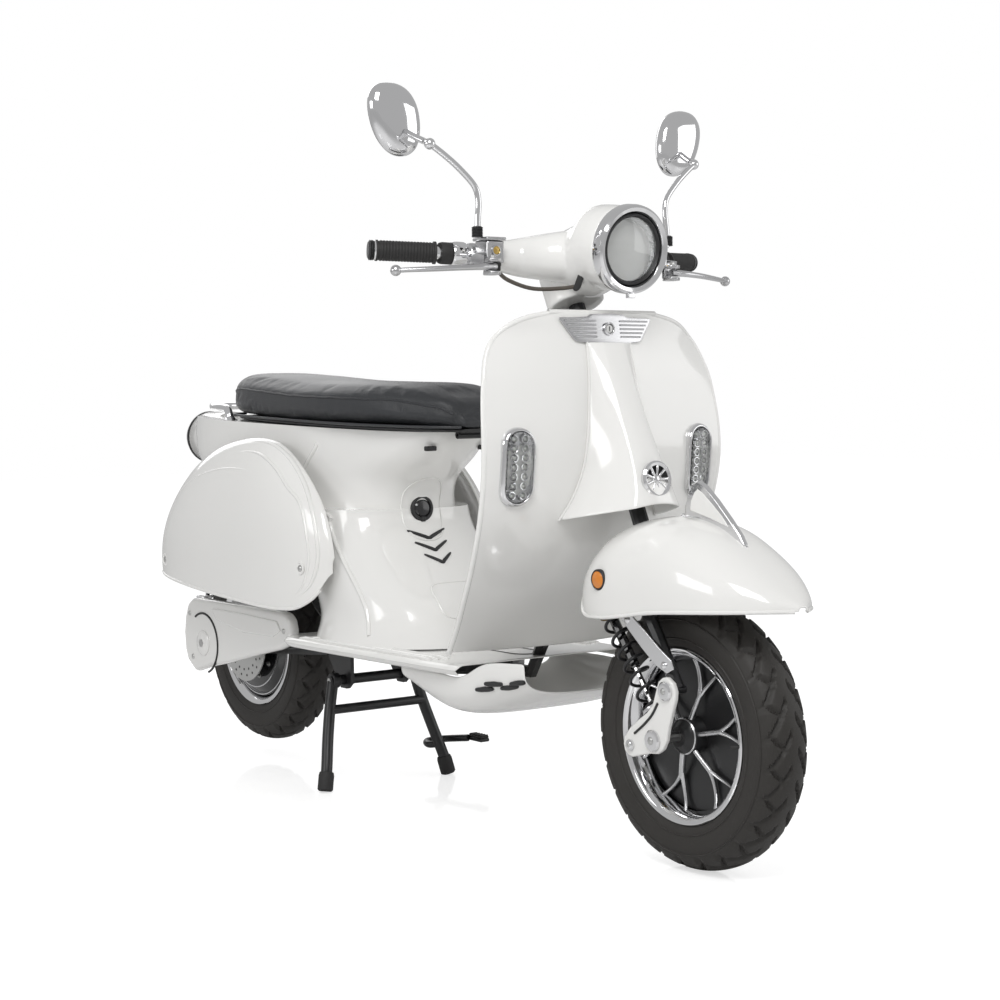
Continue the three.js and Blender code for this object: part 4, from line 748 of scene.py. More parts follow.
# ---- bars, grips and levers -----------------------------------------------------------------
def bars():
    def make(side, hand):
        tag = "_" + hand
        knee, bend, end = (Vector((x, side * y, z)) for x, y, z in ((-340, 150, 986), (-363, 250, 990), (-407, 349, 994)))
        shaft = tube("bar_tube" + tag, [(-338, side * 110, 985.5), knee, (-350, side * 200, 988), bend,
                     tuple(bend.lerp(end, 0.5)), tuple(end)], 11, CHROME, "steering", steps=8, n=24)
        if side < 0:
            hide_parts("handlebar")
        d = (end - bend).normalized()
        span = (end - bend).length
        body = "throttle" if side < 0 else "steering"
        profile = [(11.3, -2), (18.6, -2), (18.6, 2), (16.4, 3)]
        ridges = 17
        for k in range(ridges):
            s = 5 + (span - 22) * k / ridges
            step = (span - 22) / ridges
            profile += [(16.0, s), (16.9, s + step * 0.25), (16.9, s + step * 0.7), (16.0, s + step * 0.9)]
        profile += [(15.6, span - 15), (17.4, span - 14), (17.4, span - 11)]
        profile += [(11.3, span - 11)]
        sleeve = ring("grip_sleeve" + tag, profile, bend, d, RUBBER, body, n=40)
        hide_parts("throttle_grip" if side < 0 else "grip_left")
        ring("grip_ring" + tag, [(11.3, span - 10.6), (16.4, span - 10.6), (16.4, span - 8), (11.3, span - 8)], bend, d,
             CHROME, body, n=40)
        cap = [(0, span - 7.6)]
        for k in range(3):
            s = span - 7.6 + 2.6 * k
            cap += [(15.2, s), (16.6, s + 0.8), (16.6, s + 1.6), (15.0, s + 2.4)]
        cap += [(13, span + 1.6), (0, span + 2)]
        turned("bar_end" + tag, cap, bend, d, PLASTIC, body, n=40)
        at = Vector((-352, side * 205, 988.4))
        axis = (bend - knee).normalized()
        ring("switch_collar" + tag, [(11.3, -6), (19.4, -6), (20.4, -3), (20.4, 15), (19, 18), (11.3, 18)], at, axis, CHROME,
             "steering", n=40)
        ring("switch_sleeve" + tag, [(11.3, 18.6), (17.6, 18.6), (18.2, 22), (18.2, 34), (17, 38), (11.3, 38)], at, axis,
             RUBBER, "steering", n=40)
        bolt("collar_screw" + tag, at + axis * 6 + Vector((19.6, 0, 3)), (1, 0, 0.1), 3, STEEL, "steering")
        ring("clamp_collar" + tag, [(11.4, -9), (18.6, -9), (19.8, -7), (19.8, 13), (18.6, 15), (11.4, 15)],
             Vector((-346, side * 178, 987.4)), axis, SATIN, "steering", n=40)
        cyl = block("reservoir" + tag, (-329, min(side * 159, side * 194), 972), (-291, max(side * 159, side * 194), 1008),
                    SATIN, "steering", bevel=3.5, segs=4)
        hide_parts("master_cylinder_" + hand)
        block("reservoir_lid" + tag, (-331, min(side * 157, side * 196), 1008.4), (-289, max(side * 157, side * 196), 1014),
              SATIN, "steering", bevel=1.6, segs=3)
        for k in (-1, 1):
            dome("lid_screw%s_%d" % (tag, k + 1), (-310, side * (176.5 + 13 * k), 1013.6), (0, 0, 1), 3.4, STEEL, "steering",
                 tall=0.4)
        ring("sight_rim" + tag, [(9, -1), (9, 1.4), (7, 2), (6.4, 0)], (-291, side * 177, 992), (1, 0, 0), SATIN, "steering",
             n=32)
        turned("sight_glass" + tag, [(6.6, -0.6), (6.4, 0.8), (0, 1.6)], (-291, side * 177, 992), (1, 0, 0), GOLD, "steering",
               n=32)
        tube("cylinder_arm" + tag, [(-341, side * 182, 986), (-330, side * 188, 982), (-316, side * 196, 980),
             (-300, side * 206, 978), (-292, side * 214, 976)], 11, SATIN, "steering", steps=6, n=16, flat=0.9)
        ear = [(-296, 186), (-296, 200), (-288, 206), (-270, 204), (-264, 192), (-270, 182), (-288, 180)]
        for lo, hi in ((972, 978), (951, 957)):
            slab("lever_ear%s_%d" % (tag, lo), ear, lo, hi - lo, SATIN, "steering",
                 to=lambda a, b, h: (a, side * b, h), bevel=1.5)
        block("ear_web" + tag, (-296, min(side * 184, side * 200), 955), (-288, max(side * 184, side * 200), 974), SATIN,
              "steering", bevel=1.5)
        bolt("lever_bolt" + tag, (-278, side * 192, 977.6), (0, 0, 1), 4.4, STEEL, "steering")
        line = [(-278, side * 190, 964.5), (-276, side * 206, 964), (-274, side * 224, 963), (-280, side * 262, 961),
                (-294, side * 304, 958.5), (-310, side * 338, 957), (-318, side * 352, 956)]
        blade = tube("lever_blade" + tag, line, 7.6, SATIN, "lever_" + hand, steps=8, n=18, flat=0.78,
                     radii=lambda t: 1.05 - 0.38 * min(1, t * 1.25))
        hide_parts("brake_lever_" + hand)
        turned("lever_ball" + tag, [(9 * sin(pi * k / 12), -9 * cos(pi * k / 12)) for k in range(13)],
               (-319, side * 355, 956), (0, side, 0), SATIN, "lever_" + hand, n=28, angle=180)
        turned("banjo" + tag, [(8.4, 0), (8.4, 5), (7, 6), (7, 12), (5.4, 14), (0, 14)], (-300, side * 170, 972),
               (0.1, 0, -1), PLASTIC, "steering", n=6)
        tube("brake_hose" + tag, [(-300, side * 168, 960), (-294, side * 152, 945), (-280, side * 112, 931),
             (-256, side * 70, 931), (-236, side * 48, 935)], 3.4, HOSE, "steering", steps=10, n=14)
        mirror(side, hand)
    both(make)


def mirror(side, hand):
    tag = "_" + hand
    stem = "mirror_stem_" + hand
    profile = [(0, 0)]
    for k in range(7):
        profile += [(8.2, 2.4 * k), (9.4, 2.4 * k + 0.8), (9.4, 2.4 * k + 1.6), (8.2, 2.4 * k + 2.3)]
    turned("mirror_base" + tag, [*profile, (6, 18), (0, 18.4)], (-304, side * 205, 1013), (0, 0, 1), PLASTIC, stem, n=24)
    post = tube("mirror_post" + tag, [(-304, side * 205, 1022), (-305, side * 203, 1046), (-306, side * 201, 1072),
                (-308, side * 207, 1096), (-313, side * 234, 1124), (-318, side * 262, 1146), (-322, side * 283, 1160)], 5.2,
                CHROME, stem, steps=8, n=18)
    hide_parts(stem)
    head = "mirror_" + hand
    turned("mirror_ball" + tag, [(9.4 * sin(pi * k / 10), -9.4 * cos(pi * k / 10)) for k in range(11)],
           (-323, side * 284, 1161), (0, 0, 1), CHROME, stem, n=24, angle=180)
    tube("mirror_neck" + tag, [(-334, side * 287, 1166), (-352, side * 292, 1174), (-372, side * 297, 1184)], 5.4, CHROME,
         head, steps=6, n=16)
    centre = Vector((-385, side * 306, 1206))

    def outline(scale, depth, n=56):
        pts = []
        for i in range(n):
            a = 2 * pi * i / n
            w = 49 * (1 + 0.1 * sin(a) - 0.05 * cos(2 * a))
            y, z = power(cos(a), 0.94) * w * scale, power(sin(a), 0.96) * 59 * scale
            pts.append((centre.x + depth, centre.y + side * (y + 0.18 * z), centre.z + z))
        return pts
    shell = loft("mirror_shell" + tag, [outline(0.965, -11.5), outline(1.0, -10), outline(1.0, -5), outline(0.975, 0),
                 outline(0.9, 5.4), outline(0.74, 9.6), outline(0.5, 12), outline(0.25, 13), outline(0.08, 13.2)],
                 CHROME, head, angle=60)
    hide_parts("mirror_head_" + hand)
    loft("mirror_glass" + tag, [outline(0.9, -11.6), outline(0.9, -12.4), outline(0.885, -12.7)], MIRROR, head)
    ring_pts = [(x, y, z) for x, y, z in outline(0.935, -12)]
    tube("mirror_lip" + tag, ring_pts, 1.8, PLASTIC, head, steps=1, n=8, cyclic=True)


front_fender()
headset()
bars()


# ---- rear body ------------------------------------------------------------------------------
BODY_FOOT, BODY_STEP, BODY_TOP = 303.4, 540, 688


def body_front(z):
    return along([(300, -556), (330, -590), (381, -624), (440, -690), (488, -738), (538, -762), (590, -744),
                  (640, -672), (670, -638), (BODY_TOP, -628)], z)


def body_rear(z):
    if z < BODY_STEP:
        return along([(300, -964), (350, -974), (410, -1012), (480, -1064), (539, -1088)], z)
    return along([(540, -1400), (580, -1480), (620, -1540), (660, -1562), (BODY_TOP, -1562)], z)


def body_half(z):
    return along([(300, 198), (330, 178), (365, 170), (500, 166), (600, 157), (BODY_TOP, 142)], z)


def rise(x, z):
    return 0.03 * (-600 - x) * (z - BODY_FOOT) / (BODY_TOP - BODY_FOOT)


def body_point(a, z, grow=0.0):
    front, rear, half = body_front(z), body_rear(z), body_half(z) + grow
    x = (front + rear) / 2 + ((front - rear) / 2 + grow) * power(cos(a), 0.8)
    y = half * power(sin(a), 0.8)
    if cos(a) > 0:
        hollow = sin(pi * min(1, max(0, (z - 335) / 320))) * max(0, 1 - (y / (0.86 * half)) ** 2)
        x -= 17 * hollow * cos(a) ** 0.3
    return (x, y, z + rise(x, z))


def bowl_point(y, z, out=0.0):
    """A point on the body's front face at that y."""
    a = math.asin(min(1, abs(y) / body_half(z)) ** 1.25)
    x, _, level = body_point(a, z)
    return (x + out, y, level)


def rear_body():
    levels = [BODY_FOOT + (539.4 - BODY_FOOT) * i / 34 for i in range(35)]
    levels += [BODY_STEP + (BODY_TOP - 0.2 - BODY_STEP) * (1 - (1 - i / 18) ** 1.3) for i in range(19)]
    rows = [[body_point(2 * pi * i / 96, z) for i in range(96)] for z in levels]
    lip = []
    for i in range(96):
        a = 2 * pi * i / 96
        x = -981 + 281 * max(-1, min(1, 1.45 * cos(a)))
        y = 92 * max(-1, min(1, 1.45 * sin(a)))
        lip.append((x, y, BODY_TOP + rise(x, BODY_TOP) - 0.4))
    low_lip = [(min(x, -818), y, z - 118) for x, y, z in lip]
    rows += [lip, low_lip, [(-1000 + (x + 1000) * 0.02, y * 0.02, z) for x, y, z in low_lip]]
    faces = [(r * 96 + i, r * 96 + (i + 1) % 96, (r + 1) * 96 + (i + 1) % 96, (r + 1) * 96 + i)
             for r in range(len(rows) - 1) for i in range(96)]
    obj = mesh("body_skin", [p for row in rows for p in row], faces, PAINT, "chassis", angle=42)
    obj.data.materials.append(PLASTIC)
    for poly in obj.data.polygons:
        if poly.index >= (len(levels)) * 96:
            poly.material_index = 1
    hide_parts("rear_body")
    for side in (-1, 1):
        tag = "r" if side < 0 else "l"
        line = []
        for k in range(30):
            z = 322 + 334 * k / 29
            line.append(bowl_point(side * 0.955 * body_half(z), z, 0.5))
        tube("body_rim_" + tag, line, 4.4, PAINT, "chassis", steps=2, n=10)
    for k in range(3):
        z = 486 - 21 * k
        reach = 42 - 6 * k
        pts = [bowl_point(reach * t / 5, z + 15 * abs(t) / 5, 0.8) for t in range(-5, 6)]
        tube("body_vent_%d" % k, pts, 3.6, PLASTIC, "chassis", steps=3, n=12,
             radii=lambda t: 0.4 + 0.6 * max(0, sin(pi * t)) ** 0.5)
    at, axis = Vector(bowl_point(0, 540, 0)), Vector((1, 0, 0.05))
    ring("socket_rim", [(25, -4), (25, 3), (23, 5), (19, 5), (17.5, 2), (17.5, -4)], at, axis, PLASTIC, "chassis")
    turned("socket_flap", [(17, -2), (17, 3), (14, 5.4), (0, 6)], at, axis, GLOSS_BLACK, "chassis")
    block("socket_latch", (at.x, -5, at.z - 25), (at.x + 8, 5, at.z - 15), PLASTIC, "chassis", bevel=1.5)
    dome("socket_pin", at + Vector((4, 0, 29)), axis, 3.2, STEEL, "chassis")
    panel = [bowl_point(44 * cos(2 * pi * i / 40), 540 + 58 * power(sin(2 * pi * i / 40), 0.5), 0.4) for i in range(40)]
    tube("socket_seam", panel, 2.0, PAINT, "chassis", cyclic=True, steps=2, n=6)
    hatch = [bowl_point(62 * power(cos(2 * pi * i / 48), 0.4), 381 + 30 * power(sin(2 * pi * i / 48), 0.4), 0.2)
             for i in range(48)]
    tube("floor_seam", hatch, 1.8, PAINT, "chassis", cyclic=True, steps=2, n=6)
    dome("hatch_screw", bowl_point(0, 366, 0), (1, 0, 0.7), 5, STEEL, "chassis", tall=0.35)
    for side in (-1, 1):
        block("hinge_slot_%d" % (side + 1), (-652, side * 60 - 11, 655), (body_front(657) - 12, side * 60 + 11, 664),
              PLASTIC, "chassis", bevel=2)


# ---- side cowls ---------------------------------------------------------------------------------
COWL_TOP = [(-1478, 432), (-1440, 510), (-1380, 575), (-1300, 628), (-1200, 662), (-1080, 676), (-1000, 668),
            (-940, 640), (-880, 594), (-838, 545), (-814, 490), (-806, 452)]
COWL_FOOT = [(-1478, 394), (-1400, 384), (-1100, 362), (-900, 358), (-836, 386), (-806, 430)]


def cowl_point(u, w, out=0.0):
    x = -1478 + 672 * u
    ends = max(0, 1 - abs(2 * u - 1) ** 3.2) ** 0.55
    over, under = max(0, (w - 0.28) / 0.72), max(0, (0.28 - w) / 0.28)
    bulge = 56 * ends * (max(0, 1 - over ** 2.8) ** 0.6 - 0.08 * under ** 2)
    foot, top = along(COWL_FOOT, x), along(COWL_TOP, x)
    return (x, 176 + bulge + out, foot + (top - foot) * w)


def cowl_at(x, z, out=0.0):
    foot, top = along(COWL_FOOT, x), along(COWL_TOP, x)
    return cowl_point((x + 1478) / 672, min(1, max(0, (z - foot) / (top - foot))), out)


def side_cowls():
    def make(side, hand):
        def face(u, w):
            u = 0.5 - 0.5 * cos(pi * (0.02 + 0.96 * u))
            w = 1 - (1 - w) ** 1.5
            return flip(cowl_point(u, w), side)
        obj = grid("cowl_skin_" + hand, face, 64, 40, PAINT, "chassis", solid=SKIN, offset=0, subsurf=1)
        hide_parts("side_cowl_" + hand)
        path = [(-1140, 664), (-1030, 668), (-955, 644), (-900, 604), (-862, 560), (-834, 500), (-828, 450), (-846, 404),
                (-890, 374)]
        for k, (shift, r) in enumerate(((0, 4.6), (19, 3.6))):
            line = [flip(cowl_at(x - shift, z - (shift if z > 600 else shift * 0.2), 0.2), side) for x, z in path]
            tube("cowl_ridge_%s_%d" % (hand, k), line, r, PAINT, "chassis", steps=8, n=12,
                 radii=lambda t: 0.3 + 0.7 * min(1, 5 * t, 5 * (1 - t)))
        crease = [flip(cowl_at(x, z, -0.6), side) for x, z in ((-1420, 520), (-1360, 560), (-1280, 592), (-1180, 612),
                  (-1080, 616), (-1000, 604))]
        tube("cowl_crease_" + hand, crease, 3.2, PAINT, "chassis", steps=8, n=10,
             radii=lambda t: 0.25 + 0.75 * sin(pi * t) ** 0.6)
        for k, (x, z) in enumerate(((-868, 436), (-1410, 420))):
            at = Vector(flip(cowl_at(x, z, 0.4), side))
            ring("cowl_cup_%s_%d" % (hand, k), [(13, -1), (13, 1.6), (10.5, 2.4), (8.5, 0)], at, (0, side, 0), PAINT,
                 "chassis", n=32)
            dome("cowl_bolt_%s_%d" % (hand, k), at, (0, side, 0), 6.5, STEEL, "chassis", tall=0.5)
        foot = [flip(cowl_point(0.03 + 0.94 * t / 40, 0.0, 0), side) for t in range(41)]
        tube("cowl_lip_" + hand, foot, 3.4, PAINT, "chassis", steps=2, n=10)
    both(make)


# ---- seat -----------------------------------------------------------------------------------------
def seat_half(x):
    return along([(-1374, 34), (-1352, 78), (-1300, 106), (-1180, 128), (-1000, 146), (-870, 150), (-760, 138),
                  (-660, 104), (-610, 70), (-584, 30)], x)


def seat_top(x):
    return along([(-1374, 32), (-1362, 68), (-1326, 92), (-1200, 93), (-1023, 86), (-844, 86), (-710, 86), (-640, 76),
                  (-600, 60), (-584, 26)], x)


def seat_ring(x, inset, lift, crown=0.0, n=36):
    """A cross-section of the cushion, from its flat foot over the shoulders."""
    half, top = seat_half(x) - inset, seat_top(x) - crown
    base = BODY_TOP + rise(x, BODY_TOP)
    pts = []
    for i in range(n):
        a = 2 * pi * i / n
        y, h = half * power(cos(a), 0.62), power(sin(a), 0.5)
        tall = (top - lift) / 2
        pts.append((x, y, base + lift + tall + tall * h))
    return pts


def pad(obj, cap, voxel=5.0):
    """Blows the cushion up a little as cloth, holding its foot."""
    bpy.context.view_layer.objects.active = obj
    grain = obj.modifiers.new("cells", "REMESH")
    grain.mode = "VOXEL"
    grain.voxel_size = voxel / 1000
    apply_look(obj)
    rest = [v.co.copy() for v in obj.data.vertices]
    group = obj.vertex_groups.new(name="held")
    for v in obj.data.vertices:
        base = (BODY_TOP + rise((v.co.x - SHIFT) * 1000, BODY_TOP)) / 1000
        if v.co.z < base + 0.013:
            group.add([v.index], 1.0, "REPLACE")
    cloth = obj.modifiers.new("cloth", "CLOTH")
    cloth.settings.use_pressure = True
    cloth.settings.uniform_pressure_force = 4
    cloth.settings.effector_weights.gravity = 0
    cloth.settings.vertex_group_mass = "held"
    cloth.settings.tension_stiffness = 25
    cloth.settings.compression_stiffness = 25
    cloth.settings.bending_stiffness = 2
    cloth.point_cache.frame_end = 20
    scene = bpy.context.scene
    for f in range(1, 21):
        scene.frame_set(f)
    shaped = obj.evaluated_get(bpy.context.evaluated_depsgraph_get()).to_mesh()
    moved = [v.co.copy() for v in shaped.vertices]
    obj.modifiers.clear()
    for v, start, end in zip(obj.data.vertices, rest, moved):
        step = end - start
        if step.length > cap / 1000:
            step *= cap / 1000 / step.length
        v.co = start + step
    scene.frame_set(1)
    obj.modifiers.new("smooth", "SUBSURF").render_levels = 1
    obj.data.shade_smooth()


def apply_look(obj):
    """Writes the modifiers of obj into its mesh."""
    shaped = bpy.data.meshes.new_from_object(obj.evaluated_get(bpy.context.evaluated_depsgraph_get()))
    obj.modifiers.clear()
    obj.data = shaped


def seat():
    xs = [-1372, -1368, -1361, -1350, -1332, -1306, -1274] + [-1240 + 40 * k for k in range(15)]
    xs += [-655, -634, -616, -602, -594, -589, -586]
    rings = [seat_ring(x, 3.5, 9, crown=3.5) for x in xs]
    obj = loft("seat_cover", rings, VINYL, "seat", angle=180)
    bpy.context.view_layer.update()
    pad(obj, 5)
    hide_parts("seat_cushion")
    for side in (-1, 1):
        tag = "r" if side < 0 else "l"
        pts = []
        for k in range(60):
            x = -1366 + 772 * k / 59
            base = BODY_TOP + rise(x, BODY_TOP)
            guess = m((x, side * (seat_half(x) + 6), base + 0.70 * seat_top(x)))
            _, at, _, _ = obj.closest_point_on_mesh(guess)
            pts.append(((at.x - SHIFT) * 1000, at.y * 1000, at.z * 1000))
        tube("seat_seam_" + tag, pts, 2.0, VINYL, "seat", steps=2, n=8)
        tube("seat_stitch_" + tag, [(x, y - side * 2.5, z + 4.5) for x, y, z in pts[3:-3]], 0.9, VINYL, "seat", steps=2, n=6)
        hem = [(x, side * (seat_half(x) - 1.4), BODY_TOP + rise(x, BODY_TOP) + 10.5) for x in
               [-1370 + 780 * k / 50 for k in range(51)]]
        tube("seat_hem_" + tag, hem, 2.6, VINYL, "seat", steps=2, n=8)


# ---- grab rail, tail lamp and mudguard ----------------------------------------------------------
def tail():
    right = [(-1310, -113, 668), (-1310, -113, 700), (-1314, -113, 722), (-1330, -111, 733), (-1370, -107, 736),
             (-1412, -96, 737), (-1450, -72, 737), (-1476, -38, 737), (-1484, 0, 737)]
    path = right + [(x, -y, z) for x, y, z in reversed(right[:-1])]
    rail = tube("rail", path, 8, CHROME, "chassis", steps=8, n=24)
    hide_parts("grab_rail")
    for side in (-1, 1):
        turned("rail_foot_%d" % (side + 1), [(15, 0), (15, 2), (11, 4), (8, 8)],
               (-1310, side * 113, BODY_TOP + rise(-1310, BODY_TOP) - 1), (0, 0, 1), CHROME, "chassis", n=36)
    at = Vector((-1500, 0, 668))
    ring("tail_drum", [(50, 2), (56, 6), (56, 100), (54, 103), (50, 103)], at, (-1, 0, 0), PAINT, "chassis", n=64)
    ring("tail_ring", [(50, 103.4), (56.6, 103.4), (57, 108), (54, 112), (50, 110)], at, (-1, 0, 0), PLASTIC, "chassis", n=64)
    lens = turned("tail_lens", [(52, 100), (51.6, 110), (49, 120), (44, 130), (32, 136), (16, 139), (0, 139.6)], at,
                  (-1, 0, 0), RED, "chassis", n=64)
    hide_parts("tail_lamp")
    ring("tail_bead", [(46, 126), (47.4, 129), (44, 131)], at, (-1, 0, 0), CHROME, "chassis", n=64)

    def guard(u, w):
        a = rad(25 + 120 * u)
        r = 280 - 14 * abs(2 * w - 1) ** 3
        return (-1350 - r * cos(a), 124 * (w - 0.5), 246 + r * sin(a))
    obj = grid("mudguard_skin", guard, 60, 16, PLASTIC, "chassis", solid=SKIN, offset=0, subsurf=1)
    low_corner, high_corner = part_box("rear_mudguard")
    mid = (low_corner.x + high_corner.x) / 2
    made = sum((v.co.x for v in obj.data.vertices)) / len(obj.data.vertices)
    if abs(made - mid) > 0.03:
        for v in obj.data.vertices:
            v.co.x = 2 * m((-1350, 0, 0)).x - v.co.x
        obj.data.flip_normals()
    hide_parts("rear_mudguard")


rear_body()
side_cowls()
seat()
tail()


# ---- wheels ----------------------------------------------------------------------------------------
FRONT_AXLE, REAR_AXLE = (0, 0, 216), (-1350, 0, 246)


def groove(a, y):
    """How deep the tread is cut at that angle and width, from 0 to 1."""
    blocks = 26
    side = 1 if y > 0 else -1
    slant = a * blocks / (2 * pi) + side * 0.25 + 0.034 * abs(y)
    across = abs((slant % 1) - 0.5) * 2
    main = max(0, 1 - across / 0.3) if 5 < abs(y) < 41 else 0
    branch = a * blocks / (2 * pi) + side * 0.25 - 0.02 * abs(y)
    off = abs((branch % 1) - 0.5) * 2
    twig = max(0, 1 - off / 0.22) if 16 < abs(y) < 36 else 0
    return min(1, 2.4 * max(main, twig))


def tyre(at, body, tag):
    profile = [(141, -38), (146, -41.5), (154, -43), (166, -45), (178, -45.8), (190, -44), (199, -39.5)]
    crown = [(-36 + 72 * k / 30) for k in range(31)]
    rows = [(r, y) for r, y in profile]
    for y in crown:
        rows.append((215.6 - 12.5 * (abs(y) / 36) ** 2.2, y))
    rows += [(r, -y) for r, y in reversed(profile)]
    count = 416
    verts = []
    for r, y in rows:
        for i in range(count):
            a = 2 * pi * i / count
            depth = 5.2 * groove(a, y) if r > 196 else 0
            verts.append((at[0] + (r - depth) * cos(a), at[1] + y, at[2] + (r - depth) * sin(a)))
    n = len(rows)
    faces = [(r * count + i, r * count + (i + 1) % count, ((r + 1) % n) * count + (i + 1) % count, ((r + 1) % n) * count + i)
             for r in range(n) for i in range(count)]
    obj = mesh(tag + "_tyre_skin", verts, faces, TYRE, body)
    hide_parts(tag + "_tyre")
    for side in (-1, 1):
        for k, r in enumerate((156, 186)):
            y = 43.4 if k == 0 else 45.0
            ring("%s_bead_%d_%d" % (tag, k, side + 1), [(r - 1.6, 0), (r, 1.4), (r + 1.6, 0), (r, -1.4)],
                 (at[0], side * y, at[2]), (0, side, 0), TYRE, body, n=96)


def lip(at, body, tag, side, mat):
    return ring("%s_lip_%d" % (tag, side + 1), [(140.4, 34), (140.6, 40), (139, 41.6), (134, 41.2), (130, 38), (124, 26),
                (120, 16), (124, 14), (133, 30)], at, (0, side, 0), mat, body, n=128)


def front_wheel():
    at, body = FRONT_AXLE, "front_wheel"
    well = turned("front_well", [(139.8, -34), (139.8, 34)], at, (0, 1, 0), PLASTIC, body, n=128, closed=False)
    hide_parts("front_rim")
    for side in (-1, 1):
        lip(at, body, "front_rim", side, CHROME)
        turned("front_hub_%d" % (side + 1), [(30, 0), (30, 30), (27, 36), (20, 40), (16, 44)], at, (0, side, 0), BLACK, body,
               n=64)
        ring("front_hub_ring_%d" % (side + 1), [(28, 33), (29.4, 34), (28, 35.6), (26, 35)], at, (0, side, 0), SATIN, body,
             n=64)
    turned("front_web", [(122, -9), (122, 9)], at, (0, 1, 0), BLACK, body, n=96, bevel=2)
    for k in range(6):
        a = 2 * pi * k / 6 + 0.2
        for side in (-1, 1):
            def spot(r, angle, y):
                return (at[0] + r * cos(angle), side * y, at[2] + r * sin(angle))
            tube("front_spoke_%d_%d" % (k, side + 1), [spot(27, a, 26), spot(48, a, 22), spot(74, a, 16)], 5.4, SATIN, body,
                 steps=5, n=12, flat=0.8)
            for turn in (-1, 1):
                tube("front_branch_%d_%d_%d" % (k, turn + 1, side + 1), [spot(66, a, 18), spot(86, a + turn * 0.09, 15),
                     spot(108, a + turn * 0.18, 15), spot(125, a + turn * 0.24, 20)], 4.6, SATIN, body, steps=5, n=12,
                     flat=0.8, radii=lambda t: 1 - 0.3 * t)
    tube("front_valve", [(at[0] + 134, -30, at[2]), (at[0] + 126, -38, at[2]), (at[0] + 120, -44, at[2])], 3.4, RUBBER,
         body, steps=3, n=12)


def rear_wheel():
    at, body = REAR_AXLE, "rear_wheel"
    well = turned("rear_well", [(139.8, -34), (139.8, 34)], at, (0, 1, 0), PLASTIC, body, n=128, closed=False)
    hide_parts("rear_rim")
    for side in (-1, 1):
        lip(at, body, "rear_rim", side, CHROME)
        top = 51 if side < 0 else 47
        turned("motor_%d" % (side + 1), [(122, 2), (122, 28), (117, 32), (106, 41), (98, 44), (60, 46), (42, 47), (38, top),
               (22, top + 2)], at, (0, side, 0), GLOSS_BLACK, body, n=96)
        for k, (r, s) in enumerate(((119, 31.6), (102, 43.4), (58, 46.6))):
            ring("motor_line_%d_%d" % (k, side + 1), [(r - 1.1, s - 1), (r - 1.1, s + 0.6), (r + 1.1, s + 0.5), (r + 1.1, s - 1)],
                 at, (0, side, 0), SATIN, body, n=96)
        for k in range(10):
            a = 2 * pi * k / 10
            bolt("motor_bolt_%d_%d" % (k, side + 1), (at[0] + 80 * cos(a), side * 44.8, at[2] + 80 * sin(a)), (0, side, 0),
                 3.6, STEEL, body)


def drilled(name, at, y, radius, node, body):
    obj = ring(name, [(20.4, -1.9), (radius - 0.4, -1.9), (radius, -1.4), (radius, 1.4), (radius - 0.4, 1.9), (20.4, 1.9)],
               (at[0], y, at[2]), (0, 1, 0), STEEL, body, n=96)
    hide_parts(node)
    for row, share in enumerate((0.72, 0.86)):
        for k in range(20):
            a = 2 * pi * (k + row * 0.5) / 20
            p = (at[0] + radius * share * cos(a), y - 2.05, at[2] + radius * share * sin(a))
            q = (p[0], y + 2.05, p[2])
            rod("%s_hole_%d_%d" % (name, row, k), p, q, 2.7, PLASTIC, body, n=12, bevel=0)


# ---- springs, links and fork covers -------------------------------------------------------------------
def shock(name, top, foot, side, wire, coil, body, node, mat):
    a, b = Vector((top[0], side * top[1], top[2])), Vector((foot[0], side * foot[1], foot[2]))
    d = (b - a).normalized()
    _, across, up = basis(d)
    reach = (b - a).length
    start, stop = 21, reach - 21
    pts = []
    turns = 6.5
    count = 150
    for i in range(count + 1):
        t = i / count
        ease = t + 0.02 * sin(2 * pi * t)
        angle = 2 * pi * turns * t
        pts.append(a + d * (start + (stop - start) * ease) + (across * cos(angle) + up * sin(angle)) * coil)
    obj = tube(name + "_coil", pts, wire, mat, body, steps=1, n=12)
    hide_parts(node)
    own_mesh(obj)
    rod_body = body + "_rod"
    for k, (at, axis, owner) in enumerate(((a, d, body), (b, -d, rod_body))):
        ring("%s_seat_%d" % (name, k), [(6, 15), (coil + wire, 15), (coil + wire + 0.6, 17), (coil + wire, 20.4), (6, 20.4)],
             at, axis, GOLD if k == 0 else SATIN, owner, n=32)
        ring("%s_eye_%d" % (name, k), [(6.2, -7), (11, -7), (12, -5), (12, 5), (11, 7), (6.2, 7)], at, (0, side, 0), BLACK,
             owner, n=28)


